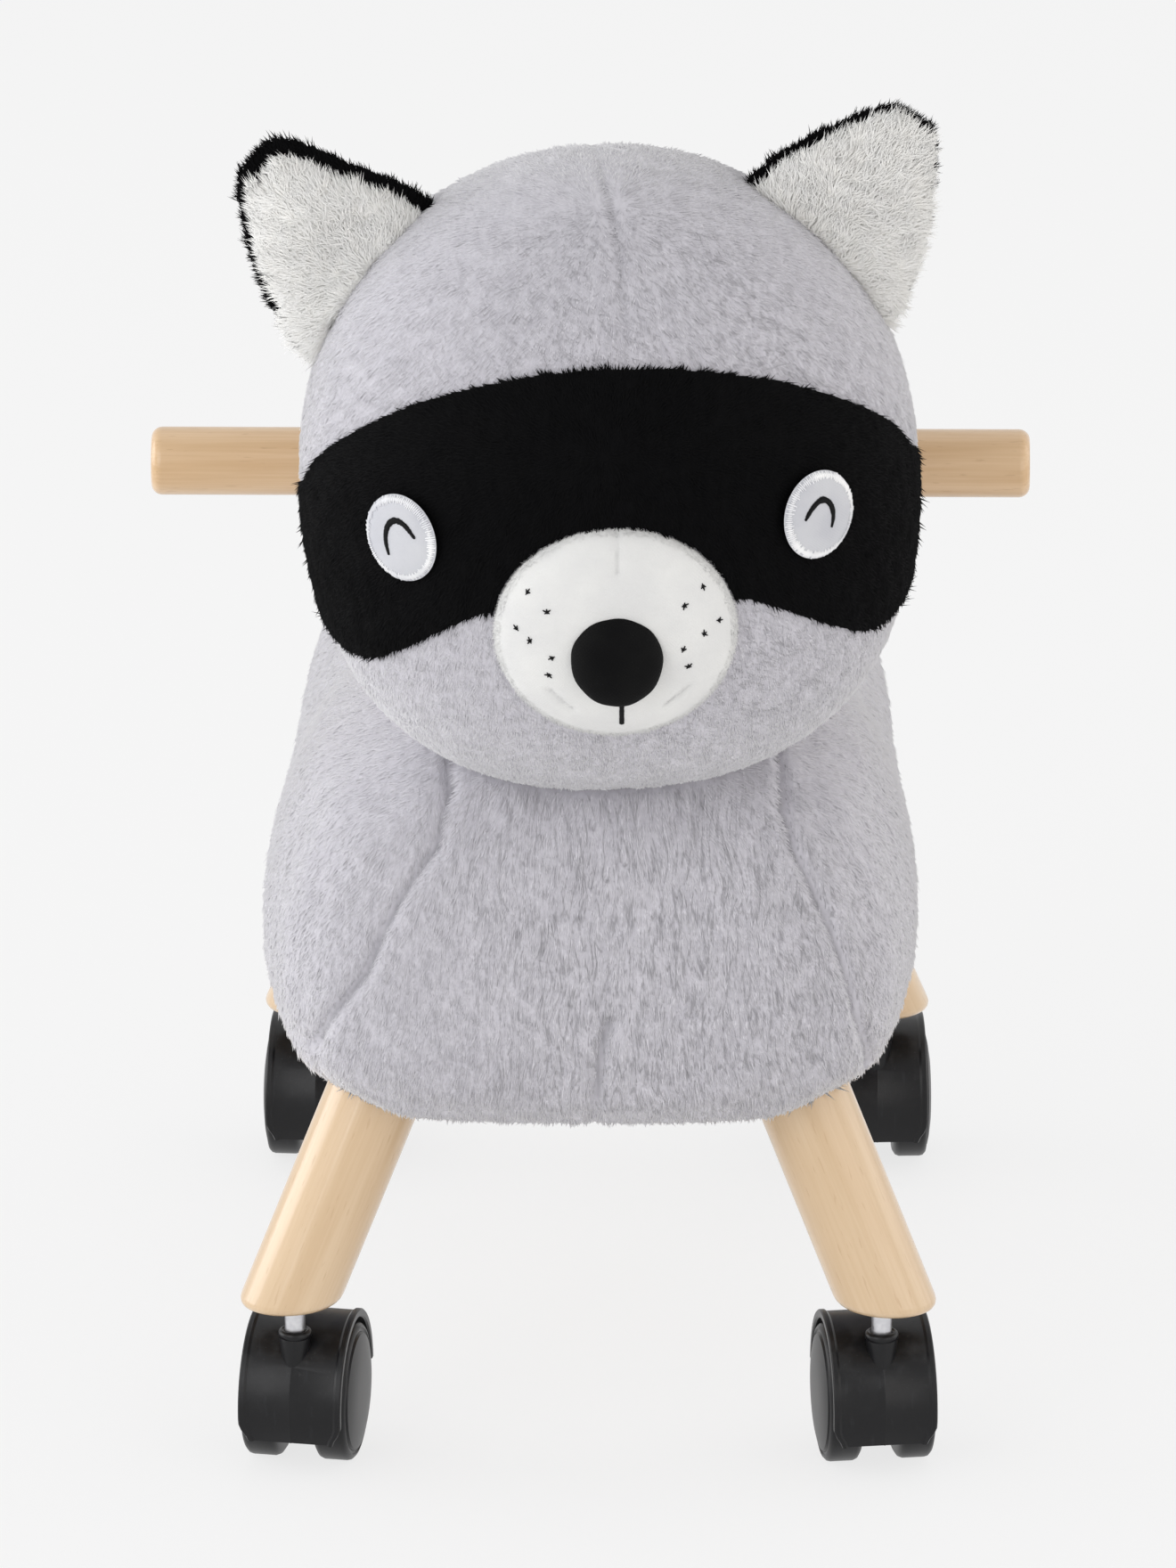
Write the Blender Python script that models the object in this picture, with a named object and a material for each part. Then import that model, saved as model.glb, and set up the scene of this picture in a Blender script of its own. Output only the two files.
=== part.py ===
"""Ride-on plush raccoon on four swivelling twin-wheel castors.

Metres, +Z up, origin on the floor under the middle of the toy. The animal and its
rider face -Y, so the rider's left hand is at +X. A plywood board inside the body
carries four splayed legs and the post that holds the handle bar, and the plush
body and head are sewn round that frame. Each leg ends in a castor: its moulded
hood turns about the stem, and its two wheels roll on one axle.
"""

import math

import bmesh
import bpy
from mathutils import Matrix, Vector

# Whole toy
wheelbase_length = 0.323
track_width = 0.216

# Clearances
seat_gap = 0.0003
soft_gap = 0.0008
cut_overrun_length = 0.020
weld_gap = 0.00001

# Castor wheels and axle
wheel_radius = 0.026
tread_width = 0.013
tread_shoulder_radius = 0.0022
wheel_gap = 0.014
disc_dome_height = 0.002
disc_rim_width = 0.004
wheel_skin_thickness = 0.003
axle_radius = 0.003
axle_chamfer_width = 0.0006
dome_share = 0.55
dome_height_share = 0.78
wheel_steps = 24
pin_steps = 10
screw_steps = 6

# Castor hood
castor_trail_length = 0.0185
hood_gap = 0.0015
hood_wall_thickness = 0.0025
hood_half_width = 0.01925
hood_lip_height = 0.0007
hood_lip_width = 0.0022
web_thickness = 0.012
hub_radius = 0.0085
boss_radius = 0.0068
boss_lip_depth = 0.0006
boss_lip_height = 0.0035
boss_rise_height = 0.0065
hood_front_angle = math.radians(202.6)
hood_rear_angle = math.radians(5)
hub_front_angle = math.radians(-160)
hub_rear_angle = math.radians(-25)
hood_steps = 12

# Castor stem and the sleeve in the leg
stem_radius = 0.00375
stem_neck_depth = 0.0007
stem_neck_length = 0.003
stem_tip_radius = 0.0012
stem_bare_length = 0.0102
sleeve_wall_thickness = 0.00145
sleeve_length = 0.020
sleeve_flange_width = 0.0025
sleeve_flange_height = 0.001
thrust_gap = 0.001

# Legs
leg_radius = 0.0175
leg_offset_width = 0.0024
leg_end_radius = 0.0045
leg_lean_out_share = 0.41
leg_lean_along_share = 0.176
leg_steps = 16
stud_radius = 0.004
stud_leg_length = 0.034
stud_end_length = 0.006
plate_width = 0.044
plate_thickness = 0.007
plate_corner_radius = 0.004
plate_screw_inset_width = 0.0048

# Base board, post and the rails under the board
board_height = 0.176
board_margin_width = 0.0025
board_thickness = 0.018
board_corner_radius = 0.012
stud_hole_gap = 0.005
post_width = 0.036
post_depth = 0.040
post_top_height = 0.027
gusset_thickness = 0.012
gusset_height = 0.052
gusset_foot_length = 0.024
rail_width = 0.020
rail_length = 0.200
rail_spacing_width = 0.078
panel_thickness = 0.005
panel_end_length = 0.008
panel_margin_width = 0.004
panel_corner_radius = 0.012
panel_recess_depth = 0.0004

# Screws and the post's bolt
screw_radius = 0.0018
screw_head_radius = 0.0038
screw_head_height = 0.0024
screw_bite_length = 0.012
screw_inset_length = 0.018
bolt_radius = 0.004
bolt_head_radius = 0.0075
bolt_head_height = 0.0055
bolt_washer_radius = 0.010
bolt_washer_height = 0.0016
bolt_post_length = 0.045

# Handle bar
handle_length = 0.322
handle_radius = 0.0125
handle_end_radius = 0.004
handle_drop_height = 0.0194
handle_setback_depth = 0.065
handle_screw_length = 0.050

# Plush body
chest_length = 0.0415
rump_length = 0.0535
flank_width = 0.0272
belly_drop_height = 0.043
flank_rise_height = 0.070
back_rise_height = 0.097
cover_thickness = 0.004
foam_height = 0.036
foam_width = 0.140
foam_inset_length = 0.078
foam_edge_radius = 0.012
body_segments = 20
low_power = 4.2
high_power = 2.3

# Along the body from chest to rump: place, width, depth below and rise above the
# widest line, each a share of the body's half length, half width, depth and rise
body_shares = (
    (-1.00, 0.28, 0.36, 0.30),
    (-0.972, 0.59, 0.66, 0.57),
    (-0.90, 0.80, 0.87, 0.79),
    (-0.77, 0.93, 0.96, 0.92),
    (-0.55, 0.995, 0.995, 1.00),
    (-0.36, 1.00, 1.00, 1.00),
    (-0.18, 0.985, 1.00, 0.92),
    (0.05, 0.955, 0.99, 0.80),
    (0.35, 0.93, 0.98, 0.80),
    (0.60, 0.925, 0.965, 0.87),
    (0.78, 0.88, 0.93, 0.87),
    (0.90, 0.79, 0.84, 0.77),
    (0.972, 0.60, 0.64, 0.57),
    (1.00, 0.28, 0.34, 0.30),
)

# Head
head_half_width = 0.112
head_half_depth = 0.112
head_half_height = 0.117
neck_rise_height = 0.085
head_setback_depth = 0.057
head_offset_width = 0.0073
head_roll = math.radians(3.2)
head_turn = math.radians(1.0)
head_power = 2.05
jaw_power = 0.32
jaw_share = 1.6
head_segments = 22
head_rings = 12

# Face
mask_thickness = 0.003
mask_setback_depth = 0.014
muzzle_half_width = 0.0435
muzzle_half_height = 0.0422
muzzle_half_depth = 0.018
muzzle_proud_depth = 0.009
muzzle_drop_height = 0.0283
muzzle_tilt = math.radians(12)
nose_half_width = 0.0165
nose_half_height = 0.0172
nose_half_depth = 0.010
nose_proud_depth = 0.009
nose_drop_height = 0.0355
eye_half_width = 0.0172
eye_half_height = 0.0168
eye_half_depth = 0.004
eye_proud_depth = 0.001
eye_side_angle = math.radians(39.4)
eye_rise_angle = math.radians(2.6)
eye_lean = math.radians(9)

# Right half of the mask's outline seen from the front, from the middle of its top
# edge out and down to the muzzle, as shares of the head's half width and half height
mask_shares = (
    (0.00, 0.570), (0.19, 0.560), (0.39, 0.520), (0.59, 0.444), (0.77, 0.350),
    (0.91, 0.225), (0.98, 0.100), (1.12, 0.020), (1.12, -0.330), (0.98, -0.380),
    (0.93, -0.440), (0.86, -0.455), (0.78, -0.420), (0.67, -0.345), (0.53, -0.240),
    (0.38, -0.165), (0.24, -0.200),
)

# Ears
ear_height = 0.068
ear_half_width = 0.039
ear_half_depth = 0.011
ear_base_width = 0.081
ear_base_height = 0.075
ear_base_depth = 0.006
ear_splay = math.radians(41)
ear_segments = 10

# Along the ear from its root to its tip: place, width and depth as shares of the
# ear's height, half width and half depth
ear_shares = (
    (-0.28, 1.00, 0.80),
    (0.00, 0.99, 1.00),
    (0.25, 0.86, 1.00),
    (0.50, 0.66, 0.95),
    (0.75, 0.42, 0.80),
    (0.92, 0.24, 0.58),
    (1.00, 0.12, 0.34),
)

# Tail
tail_length = 0.061
tail_radius = 0.033
tail_rise_height = 0.017
tail_droop_height = 0.020
tail_segments = 12
tail_root_share = 0.4

# Along the tail from the rump to its tip: place and radius, as shares of the tail's
# reach and radius, with a crease between the bands
tail_shares = (
    (0.00, 0.93), (0.13, 1.00), (0.25, 0.93), (0.38, 0.98), (0.50, 0.89),
    (0.63, 0.93), (0.75, 0.83), (0.88, 0.72), (0.96, 0.50), (1.00, 0.24),
)

# Turn of each castor at rest, trailing like a parked one
castor_places = {
    "front_left": (1, -1, math.radians(8.5)),
    "front_right": (-1, -1, math.radians(-10.5)),
    "rear_left": (1, 1, math.radians(3)),
    "rear_right": (-1, 1, math.radians(-4)),
}

# Heights and places that follow from the sizes above
bottom_angle = math.pi / wheel_steps
axle_height = wheel_radius * math.cos(bottom_angle)
hood_inner = wheel_radius + hood_gap
hood_outer = hood_inner + hood_wall_thickness
boss_top = axle_height + math.sqrt(hood_outer ** 2 - castor_trail_length ** 2) + boss_rise_height
leg_end = boss_top + stem_bare_length
leg_length = (board_height - leg_end) * math.hypot(1, leg_lean_out_share, leg_lean_along_share)
bore_radius = stem_radius + seat_gap
sleeve_outer = bore_radius + sleeve_wall_thickness
stem_top = leg_end + sleeve_length + thrust_gap
plate_underside = board_height - seat_gap - plate_thickness
board_top = board_height + board_thickness
leg_rise = plate_underside - leg_end
board_width = track_width + 2 * leg_offset_width - 2 * leg_lean_out_share * leg_rise
board_width += plate_width + 2 * board_margin_width
board_length = wheelbase_length - 2 * leg_lean_along_share * leg_rise
board_length += plate_width + 2 * board_margin_width
body_half_width = board_width / 2 + flank_width
belly_height = board_height - belly_drop_height
widest_height = belly_height + flank_rise_height
back_height = widest_height + back_rise_height
tail_height = widest_height + tail_rise_height
head_height = back_height + neck_rise_height
body_front = -wheelbase_length / 2 - chest_length
body_rear = wheelbase_length / 2 + rump_length
body_length = body_rear - body_front
body_centre = (body_front + body_rear) / 2
nose_reach = head_half_depth + muzzle_proud_depth + nose_proud_depth
head_centre = Vector((head_offset_width, body_front + head_setback_depth, head_height))
handle_height = head_height - handle_drop_height
handle_place = head_centre.y + handle_setback_depth
panel_underside = belly_height + panel_recess_depth
rail_underside = panel_underside + panel_thickness + seat_gap
panel_length = rail_length + 2 * panel_end_length
panel_width = rail_spacing_width + rail_width + 2 * panel_margin_width

foam_start = handle_place + post_depth / 2 + gusset_foot_length + 2 * soft_gap
foam_length = body_rear - foam_inset_length - foam_start

colours = {
    "grey_plush": ((0.472, 0.462, 0.500), 0.95, 0.0),
    "black_plush": ((0.012, 0.012, 0.013), 0.95, 0.0),
    "white_fur": ((0.720, 0.725, 0.690), 0.95, 0.0),
    "white_velour": ((0.800, 0.800, 0.810), 0.90, 0.0),
    "nose_fabric": ((0.014, 0.014, 0.015), 0.70, 0.0),
    "eye_satin": ((0.700, 0.710, 0.750), 0.45, 0.0),
    "stuffing": ((0.850, 0.850, 0.840), 1.0, 0.0),
    "foam": ((0.780, 0.740, 0.560), 0.95, 0.0),
    "beech": ((0.650, 0.480, 0.300), 0.50, 0.0),
    "plywood": ((0.560, 0.400, 0.240), 0.60, 0.0),
    "grey_plastic": ((0.024, 0.024, 0.027), 0.42, 0.0),
    "tread_plastic": ((0.018, 0.018, 0.020), 0.50, 0.0),
    "steel": ((0.560, 0.560, 0.580), 0.30, 1.0),
}


def clear_objects():
    """Empty the scene."""
    for item in list(bpy.data.objects):
        bpy.data.objects.remove(item, do_unlink=True)


def material(name):
    """Return the named Principled material, made on first use."""
    found = bpy.data.materials.get(name)
    if found:
        return found
    colour, roughness, metallic = colours[name]
    made = bpy.data.materials.new(name)
    made.use_nodes = True
    made.diffuse_color = (*colour, 1.0)
    shader = made.node_tree.nodes["Principled BSDF"]
    shader.inputs["Base Color"].default_value = (*colour, 1.0)
    shader.inputs["Roughness"].default_value = roughness
    shader.inputs["Metallic"].default_value = metallic
    return made


def mesh_object(name, bm, finish, parent=None):
    """Put a bmesh in the scene as a smooth-shaded object with one material."""
    bmesh.ops.recalc_face_normals(bm, faces=bm.faces[:])
    mesh = bpy.data.meshes.new(name)
    bm.to_mesh(mesh)
    bm.free()
    mesh.shade_smooth()
    mesh.set_sharp_from_angle(angle=math.radians(40))
    mesh.materials.append(material(finish))
    made = bpy.data.objects.new(name, mesh)
    bpy.context.scene.collection.objects.link(made)
    made.parent = parent
    return made


def empty_object(name, location, rotation=(0, 0, 0)):
    """Add an empty that carries a group of parts."""
    made = bpy.data.objects.new(name, None)
    made.location = location
    made.rotation_euler = rotation
    bpy.context.scene.collection.objects.link(made)
    return made


def combine(*meshes):
    """Merge several bmeshes into the first, as separate shells."""
    whole = meshes[0]
    for other in meshes[1:]:
        shell = bpy.data.meshes.new("shell")
        other.to_mesh(shell)
        other.free()
        whole.from_mesh(shell)
        bpy.data.meshes.remove(shell)
    return whole


def boolean(bm, other, operation="DIFFERENCE"):
    """Return bm cut by, joined to or kept inside the other bmesh."""
    base = solid_guide(bm)
    tool = solid_guide(other)
    step = base.modifiers.new("cut", "BOOLEAN")
    step.operation = operation
    step.solver = "EXACT"
    step.object = tool
    bpy.context.view_layer.update()
    evaluated = base.evaluated_get(bpy.context.evaluated_depsgraph_get())
    result = bmesh.new()
    result.from_mesh(evaluated.to_mesh())
    evaluated.to_mesh_clear()
    for used in (base, tool):
        mesh = used.data
        bpy.data.objects.remove(used, do_unlink=True)
        bpy.data.meshes.remove(mesh)
    return result


def solid_guide(bm):
    """Put a bmesh in the scene for the length of one cut."""
    mesh = bpy.data.meshes.new("guide")
    bm.to_mesh(mesh)
    bm.free()
    made = bpy.data.objects.new("guide", mesh)
    made.hide_render = True
    made.display_type = "WIRE"
    bpy.context.scene.collection.objects.link(made)
    return made


def moved(bm, matrix):
    """Place a bmesh and return it."""
    bmesh.ops.transform(bm, matrix=matrix, verts=bm.verts[:])
    return bm


def at(x, y, z):
    """Return the matrix that moves by the three lengths."""
    return Matrix.Translation((x, y, z))


def turned(profile, steps, phase=0):
    """Turn (radius, height) points about Z; the ends lie on the axis or meet."""
    bm = bmesh.new()
    verts = [bm.verts.new((radius, 0, height)) for radius, height in profile]
    pairs = list(zip(verts, verts[1:]))
    if profile[0][0] > 0:
        pairs.append((verts[-1], verts[0]))
    edges = [bm.edges.new(pair) for pair in pairs]
    bmesh.ops.spin(
        bm, geom=verts + edges, cent=(0, 0, 0), axis=(0, 0, 1),
        angle=math.tau, steps=steps, use_merge=True,
    )
    bmesh.ops.remove_doubles(bm, verts=bm.verts[:], dist=weld_gap)
    bmesh.ops.recalc_face_normals(bm, faces=bm.faces[:])
    return moved(bm, Matrix.Rotation(phase, 4, "Z"))


def cylinder(radius, low, high, steps):
    """Return an upright cylinder between two heights."""
    return turned(((0, low), (radius, low), (radius, high), (0, high)), steps)


def prism(outline, low, high):
    """Extrude a closed (x, y) outline from one height to another."""
    bm = bmesh.new()
    face = bm.faces.new([bm.verts.new((x, y, low)) for x, y in outline])
    grown = bmesh.ops.extrude_face_region(bm, geom=[face])
    tops = [item for item in grown["geom"] if isinstance(item, bmesh.types.BMVert)]
    bmesh.ops.translate(bm, vec=(0, 0, high - low), verts=tops)
    bmesh.ops.recalc_face_normals(bm, faces=bm.faces[:])
    return bm


def box(size_x, size_y, size_z, corner=0, segments=3):
    """Return a box on the XY plane, its upright edges rounded."""
    bm = bmesh.new()
    bmesh.ops.create_cube(bm, size=1)
    bmesh.ops.scale(bm, vec=(size_x, size_y, size_z), verts=bm.verts[:])
    bmesh.ops.translate(bm, vec=(0, 0, size_z / 2), verts=bm.verts[:])
    if corner > 0:
        upright = [
            edge for edge in bm.edges
            if abs(edge.verts[0].co.z - edge.verts[1].co.z) > size_z / 2
        ]
        bmesh.ops.bevel(
            bm, geom=upright, offset=corner, segments=segments, profile=0.5,
            affect="EDGES", clamp_overlap=True,
        )
    return bm


def loft(rings):
    """Skin a row of closed rings of points and cap both ends, all in triangles.

    Skins of one form at different offsets then have parallel faces.
    """
    bm = bmesh.new()
    loops = []
    for ring in rings:
        verts = [bm.verts.new(point) for point in ring]
        loops.append([
            bm.edges.new(pair) for pair in zip(verts, verts[1:] + verts[:1])
        ])
    for near, far in zip(loops, loops[1:]):
        bmesh.ops.bridge_loops(bm, edges=near + far)
    for end in (loops[0], loops[-1]):
        bmesh.ops.contextual_create(bm, geom=end)
    bmesh.ops.recalc_face_normals(bm, faces=bm.faces[:])
    bmesh.ops.triangulate(bm, faces=bm.faces[:], quad_method="FIXED")
    return bm


def hollow(outer, inner):
    """Return the wall between two nested closed skins."""
    bmesh.ops.recalc_face_normals(outer, faces=outer.faces[:])
    bmesh.ops.recalc_face_normals(inner, faces=inner.faces[:])
    bmesh.ops.reverse_faces(inner, faces=inner.faces[:])
    return combine(outer, inner)


def arc(centre, radius, start, end, steps):
    """Return points on an arc, both ends included."""
    return [
        (
            centre[0] + radius * math.cos(start + (end - start) * step / steps),
            centre[1] + radius * math.sin(start + (end - start) * step / steps),
        )
        for step in range(steps + 1)
    ]


def wheel_mesh():
    """Return a wheel about X: treaded rim, domed disc at +X, blind bore."""
    half = tread_width / 2
    profile = (
        (0, half + disc_dome_height),
        (wheel_radius * dome_share, half + disc_dome_height * dome_height_share),
        (wheel_radius - disc_rim_width, half),
        (wheel_radius, half - tread_shoulder_radius),
        (wheel_radius, tread_shoulder_radius - half),
        (wheel_radius - tread_shoulder_radius, -half),
        (0, -half),
    )
    bm = turned(profile, wheel_steps, bottom_angle)
    bore = cylinder(
        axle_radius + seat_gap, -cut_overrun_length, half - wheel_skin_thickness, pin_steps,
    )
    return moved(boolean(bm, bore), Matrix.Rotation(math.pi / 2, 4, "Y"))


def hood_arch():
    """Sweep the hood's lipped wall about the axle, from front edge to rear edge."""
    side = hood_half_width
    section = (
        (hood_inner, side), (hood_outer + hood_lip_height, side),
        (hood_outer + hood_lip_height, side - hood_lip_width),
        (hood_outer, side - hood_lip_width - hood_lip_height),
    )
    mirrored = [(radius, -x) for radius, x in reversed(section)]
    bm = bmesh.new()
    start = Vector((0, math.cos(hood_front_angle), math.sin(hood_front_angle)))
    verts = [
        bm.verts.new(start * radius + Vector((x, 0, 0)))
        for radius, x in (*section, *mirrored)
    ]
    face = bm.faces.new(verts)
    bmesh.ops.spin(
        bm, geom=[face, *face.edges[:], *verts], cent=(0, 0, 0), axis=(1, 0, 0),
        angle=hood_rear_angle - hood_front_angle, steps=hood_steps,
    )
    bmesh.ops.recalc_face_normals(bm, faces=bm.faces[:])
    return moved(bm, at(0, castor_trail_length, axle_height))


def hood_web():
    """Return the web between the wheels, which holds the axle and the stem."""
    middle = (castor_trail_length, axle_height)
    wall_middle = hood_inner + hood_wall_thickness / 2
    outline = arc(middle, wall_middle, hood_front_angle, hood_rear_angle, hood_steps)
    outline += arc(middle, hub_radius, hub_rear_angle, hub_front_angle, 6)
    bm = prism(outline, -web_thickness / 2, web_thickness / 2)
    upright = Matrix(((0, 0, 1, 0), (1, 0, 0, 0), (0, 1, 0, 0), (0, 0, 0, 1)))
    return moved(bm, upright)


def hood_boss():
    """Return the stem boss with its rolled lip, ended inside the hood's wall."""
    bm = turned((
        (0, axle_height), (boss_radius, axle_height),
        (boss_radius, boss_top - boss_lip_height),
        (boss_radius + boss_lip_depth, boss_top - boss_lip_height + boss_lip_depth),
        (boss_radius + boss_lip_depth, boss_top - boss_lip_depth), (boss_radius, boss_top),
        (0, boss_top),
    ), pin_steps)
    wall_middle = hood_inner + hood_wall_thickness / 2
    inside = cylinder(wall_middle, -cut_overrun_length, cut_overrun_length, 2 * hood_steps)
    inside = moved(inside, Matrix.Rotation(math.pi / 2, 4, "Y"))
    return boolean(bm, moved(inside, at(0, castor_trail_length, axle_height)))


def hood_mesh():
    """Return the castor's moulded hood, bored for the stem and the axle."""
    bm = boolean(hood_arch(), hood_web(), "UNION")
    bm = boolean(bm, hood_boss(), "UNION")
    bore = cylinder(bore_radius, axle_height, boss_top + cut_overrun_length, pin_steps)
    bm = boolean(bm, bore)
    bore = cylinder(
        axle_radius + seat_gap, -cut_overrun_length, cut_overrun_length, pin_steps,
    )
    bore = moved(bore, Matrix.Rotation(math.pi / 2, 4, "Y"))
    return boolean(bm, moved(bore, at(0, castor_trail_length, axle_height)))


def axle_mesh():
    """Return the axle about X, ended short of the wheels' blind bores."""
    half = wheel_gap / 2 + tread_width - wheel_skin_thickness - seat_gap
    bm = turned((
        (0, -half), (axle_radius - axle_chamfer_width, -half),
        (axle_radius, axle_chamfer_width - half), (axle_radius, half - axle_chamfer_width),
        (axle_radius - axle_chamfer_width, half), (0, half),
    ), pin_steps)
    return moved(bm, Matrix.Rotation(math.pi / 2, 4, "Y"))


def stem_mesh():
    """Return the necked steel stem, from the hood's socket to the leg's bore."""
    top = stem_top - seat_gap
    neck = leg_end + sleeve_length / 2
    inner = stem_radius - stem_neck_depth
    foot = axle_height + seat_gap
    return turned((
        (0, foot), (stem_radius, foot),
        (stem_radius, neck - stem_neck_length / 2 - stem_neck_depth),
        (inner, neck - stem_neck_length / 2), (inner, neck + stem_neck_length / 2),
        (stem_radius, neck + stem_neck_length / 2 + stem_neck_depth),
        (stem_radius, top - stem_tip_radius), (stem_radius - stem_tip_radius, top), (0, top),
    ), pin_steps)


def build_castor(name, side_x, side_y, turn):
    """Place one castor's hood, stem, axle and two wheels under its swivel axis."""
    place = (side_x * track_width / 2, side_y * wheelbase_length / 2, 0)
    swivel = empty_object("castor_" + name, place, (0, 0, turn))
    for part, mesh in castor_meshes.items():
        made = bpy.data.objects.new("castor_" + part + "_" + name, mesh)
        bpy.context.scene.collection.objects.link(made)
        made.parent = swivel
        if part == "axle":
            made.location = (0, castor_trail_length, axle_height)
    for hand, sign in (("a", 1), ("b", -1)):
        made = bpy.data.objects.new("wheel_" + name + "_" + hand, wheel_shared)
        bpy.context.scene.collection.objects.link(made)
        made.parent = swivel
        out = sign * (wheel_gap + tread_width) / 2
        made.location = (out, castor_trail_length, axle_height)
        made.rotation_euler = (0, 0, 0 if sign > 0 else math.pi)


def lean_axis(side_x, side_y):
    """Return the unit vector up one leg."""
    return Vector((-side_x * leg_lean_out_share, -side_y * leg_lean_along_share, 1)).normalized()


def leg_point(side_x, side_y, height):
    """Return the point of a leg's centre line at a height."""
    rise = height - leg_end
    return Vector((
        side_x * (track_width / 2 + leg_offset_width - leg_lean_out_share * rise),
        side_y * (wheelbase_length / 2 - leg_lean_along_share * rise),
        height,
    ))


def along_leg(bm, side_x, side_y, height):
    """Lean an upright bmesh with a leg, its origin on the centre line."""
    tilt = Vector((0, 0, 1)).rotation_difference(lean_axis(side_x, side_y))
    place = Matrix.Translation(leg_point(side_x, side_y, height))
    return moved(bm, place @ tilt.to_matrix().to_4x4())


def leg_mesh(side_x, side_y):
    """Return a dowel leg with level ends, bored for its sleeve and its stud."""
    top = plate_underside - seat_gap
    bm = cylinder(leg_radius, leg_end - top, 2 * (top - leg_end), leg_steps)
    along_leg(bm, side_x, side_y, leg_end)
    for height, down in ((top, 1), (leg_end, -1)):
        cut = bmesh.ops.bisect_plane(
            bm, geom=bm.verts[:] + bm.edges[:] + bm.faces[:],
            plane_co=(0, 0, height), plane_no=(0, 0, down), clear_outer=True,
        )
        rim = [item for item in cut["geom_cut"] if isinstance(item, bmesh.types.BMEdge)]
        bmesh.ops.contextual_create(bm, geom=rim)
    bmesh.ops.recalc_face_normals(bm, faces=bm.faces[:])
    lower = [
        edge for edge in bm.edges
        if max(vert.co.z for vert in edge.verts) < leg_end + weld_gap
    ]
    bmesh.ops.bevel(
        bm, geom=lower, offset=leg_end_radius, segments=2, profile=0.5, affect="EDGES",
    )
    flange = sleeve_outer + sleeve_flange_width
    bore = turned((
        (0, leg_end - cut_overrun_length), (flange + seat_gap, leg_end - cut_overrun_length),
        (flange + seat_gap, leg_end + sleeve_flange_height + seat_gap),
        (sleeve_outer + seat_gap, leg_end + sleeve_flange_height + seat_gap),
        (sleeve_outer + seat_gap, stem_top), (0, stem_top),
    ), pin_steps)
    bm = boolean(bm, moved(bore, at(side_x * track_width / 2, side_y * wheelbase_length / 2, 0)))
    stud = cylinder(stud_radius + seat_gap, -stud_leg_length - seat_gap, cut_overrun_length, 8)
    return boolean(bm, along_leg(stud, side_x, side_y, top))


def sleeve_mesh():
    """Return the flanged steel sleeve that the stem turns in."""
    flange = sleeve_outer + sleeve_flange_width
    top = leg_end + sleeve_length
    return turned((
        (bore_radius, leg_end), (flange, leg_end),
        (flange, leg_end + sleeve_flange_height),
        (sleeve_outer, leg_end + sleeve_flange_height),
        (sleeve_outer, top), (bore_radius, top),
    ), pin_steps)


def screw_mesh(length):
    """Return a countersunk screw up Z, its head's face at the origin."""
    return turned((
        (0, 0), (screw_head_radius, 0), (screw_radius, screw_head_height),
        (screw_radius, length - screw_radius), (0, length),
    ), pin_steps)


def screw_hole(length):
    """Return the countersunk hole that a screw of this length sits in."""
    radius = screw_radius + seat_gap
    head = screw_head_radius + seat_gap
    deep = length + seat_gap
    return turned((
        (0, -cut_overrun_length), (head, -cut_overrun_length), (head, 0),
        (radius, screw_head_height + seat_gap), (radius, deep), (0, deep),
    ), pin_steps)


def copies(make, places):
    """Return one bmesh with the same shape at each place."""
    return combine(*[moved(make(), place) for place in places])


def bracket_screw_places(side_x, side_y):
    """Return two opposite corners of a leg's bracket, at the board's underside."""
    reach = plate_width / 2 - plate_screw_inset_width
    middle = leg_point(side_x, side_y, plate_underside)
    return [
        at(middle.x + across * reach, middle.y - across * reach, board_height)
        for across in (-1, 1)
    ]


def rail_screw_places():
    """Return the screws through the board into the rails, at its underside."""
    far = rail_length / 2 - screw_inset_length
    return [
        at(side * rail_spacing_width / 2, end * far, board_height)
        for side in (-1, 1) for end in (-1, 1)
    ]


def panel_screw_places():
    """Return the screws through the belly panel into the rails, at its top face."""
    far = rail_length / 2 - 2 * screw_inset_length
    return [
        at(side * rail_spacing_width / 2, end * far, panel_underside + panel_thickness)
        for side in (-1, 1) for end in (-1, 0, 1)
    ]


def bracket_mesh(side_x, side_y):
    """Return a leg's bracket: the plate, its leaning stud and its two screws."""
    middle = leg_point(side_x, side_y, plate_underside)
    bm = box(plate_width, plate_width, plate_thickness, plate_corner_radius, 1)
    moved(bm, Matrix.Translation(middle))
    high = plate_thickness + stud_end_length
    stud = turned((
        (0, -stud_leg_length), (stud_radius - axle_chamfer_width, -stud_leg_length),
        (stud_radius, axle_chamfer_width - stud_leg_length), (stud_radius, high - axle_chamfer_width),
        (stud_radius - axle_chamfer_width, high), (0, high),
    ), 8)
    bm = boolean(bm, along_leg(stud, side_x, side_y, plate_underside), "UNION")
    drop = seat_gap + plate_thickness
    screw = turned((
        (0, -drop - screw_head_height),
        (screw_head_radius, -drop - screw_head_height),
        (screw_head_radius, seat_gap - drop), (screw_radius, seat_gap - drop),
        (screw_radius, screw_bite_length - screw_radius), (0, screw_bite_length),
    ), screw_steps)
    screws = combine(*[
        moved(screw.copy(), place) for place in bracket_screw_places(side_x, side_y)
    ])
    screw.free()
    return boolean(bm, screws, "UNION")


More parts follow.
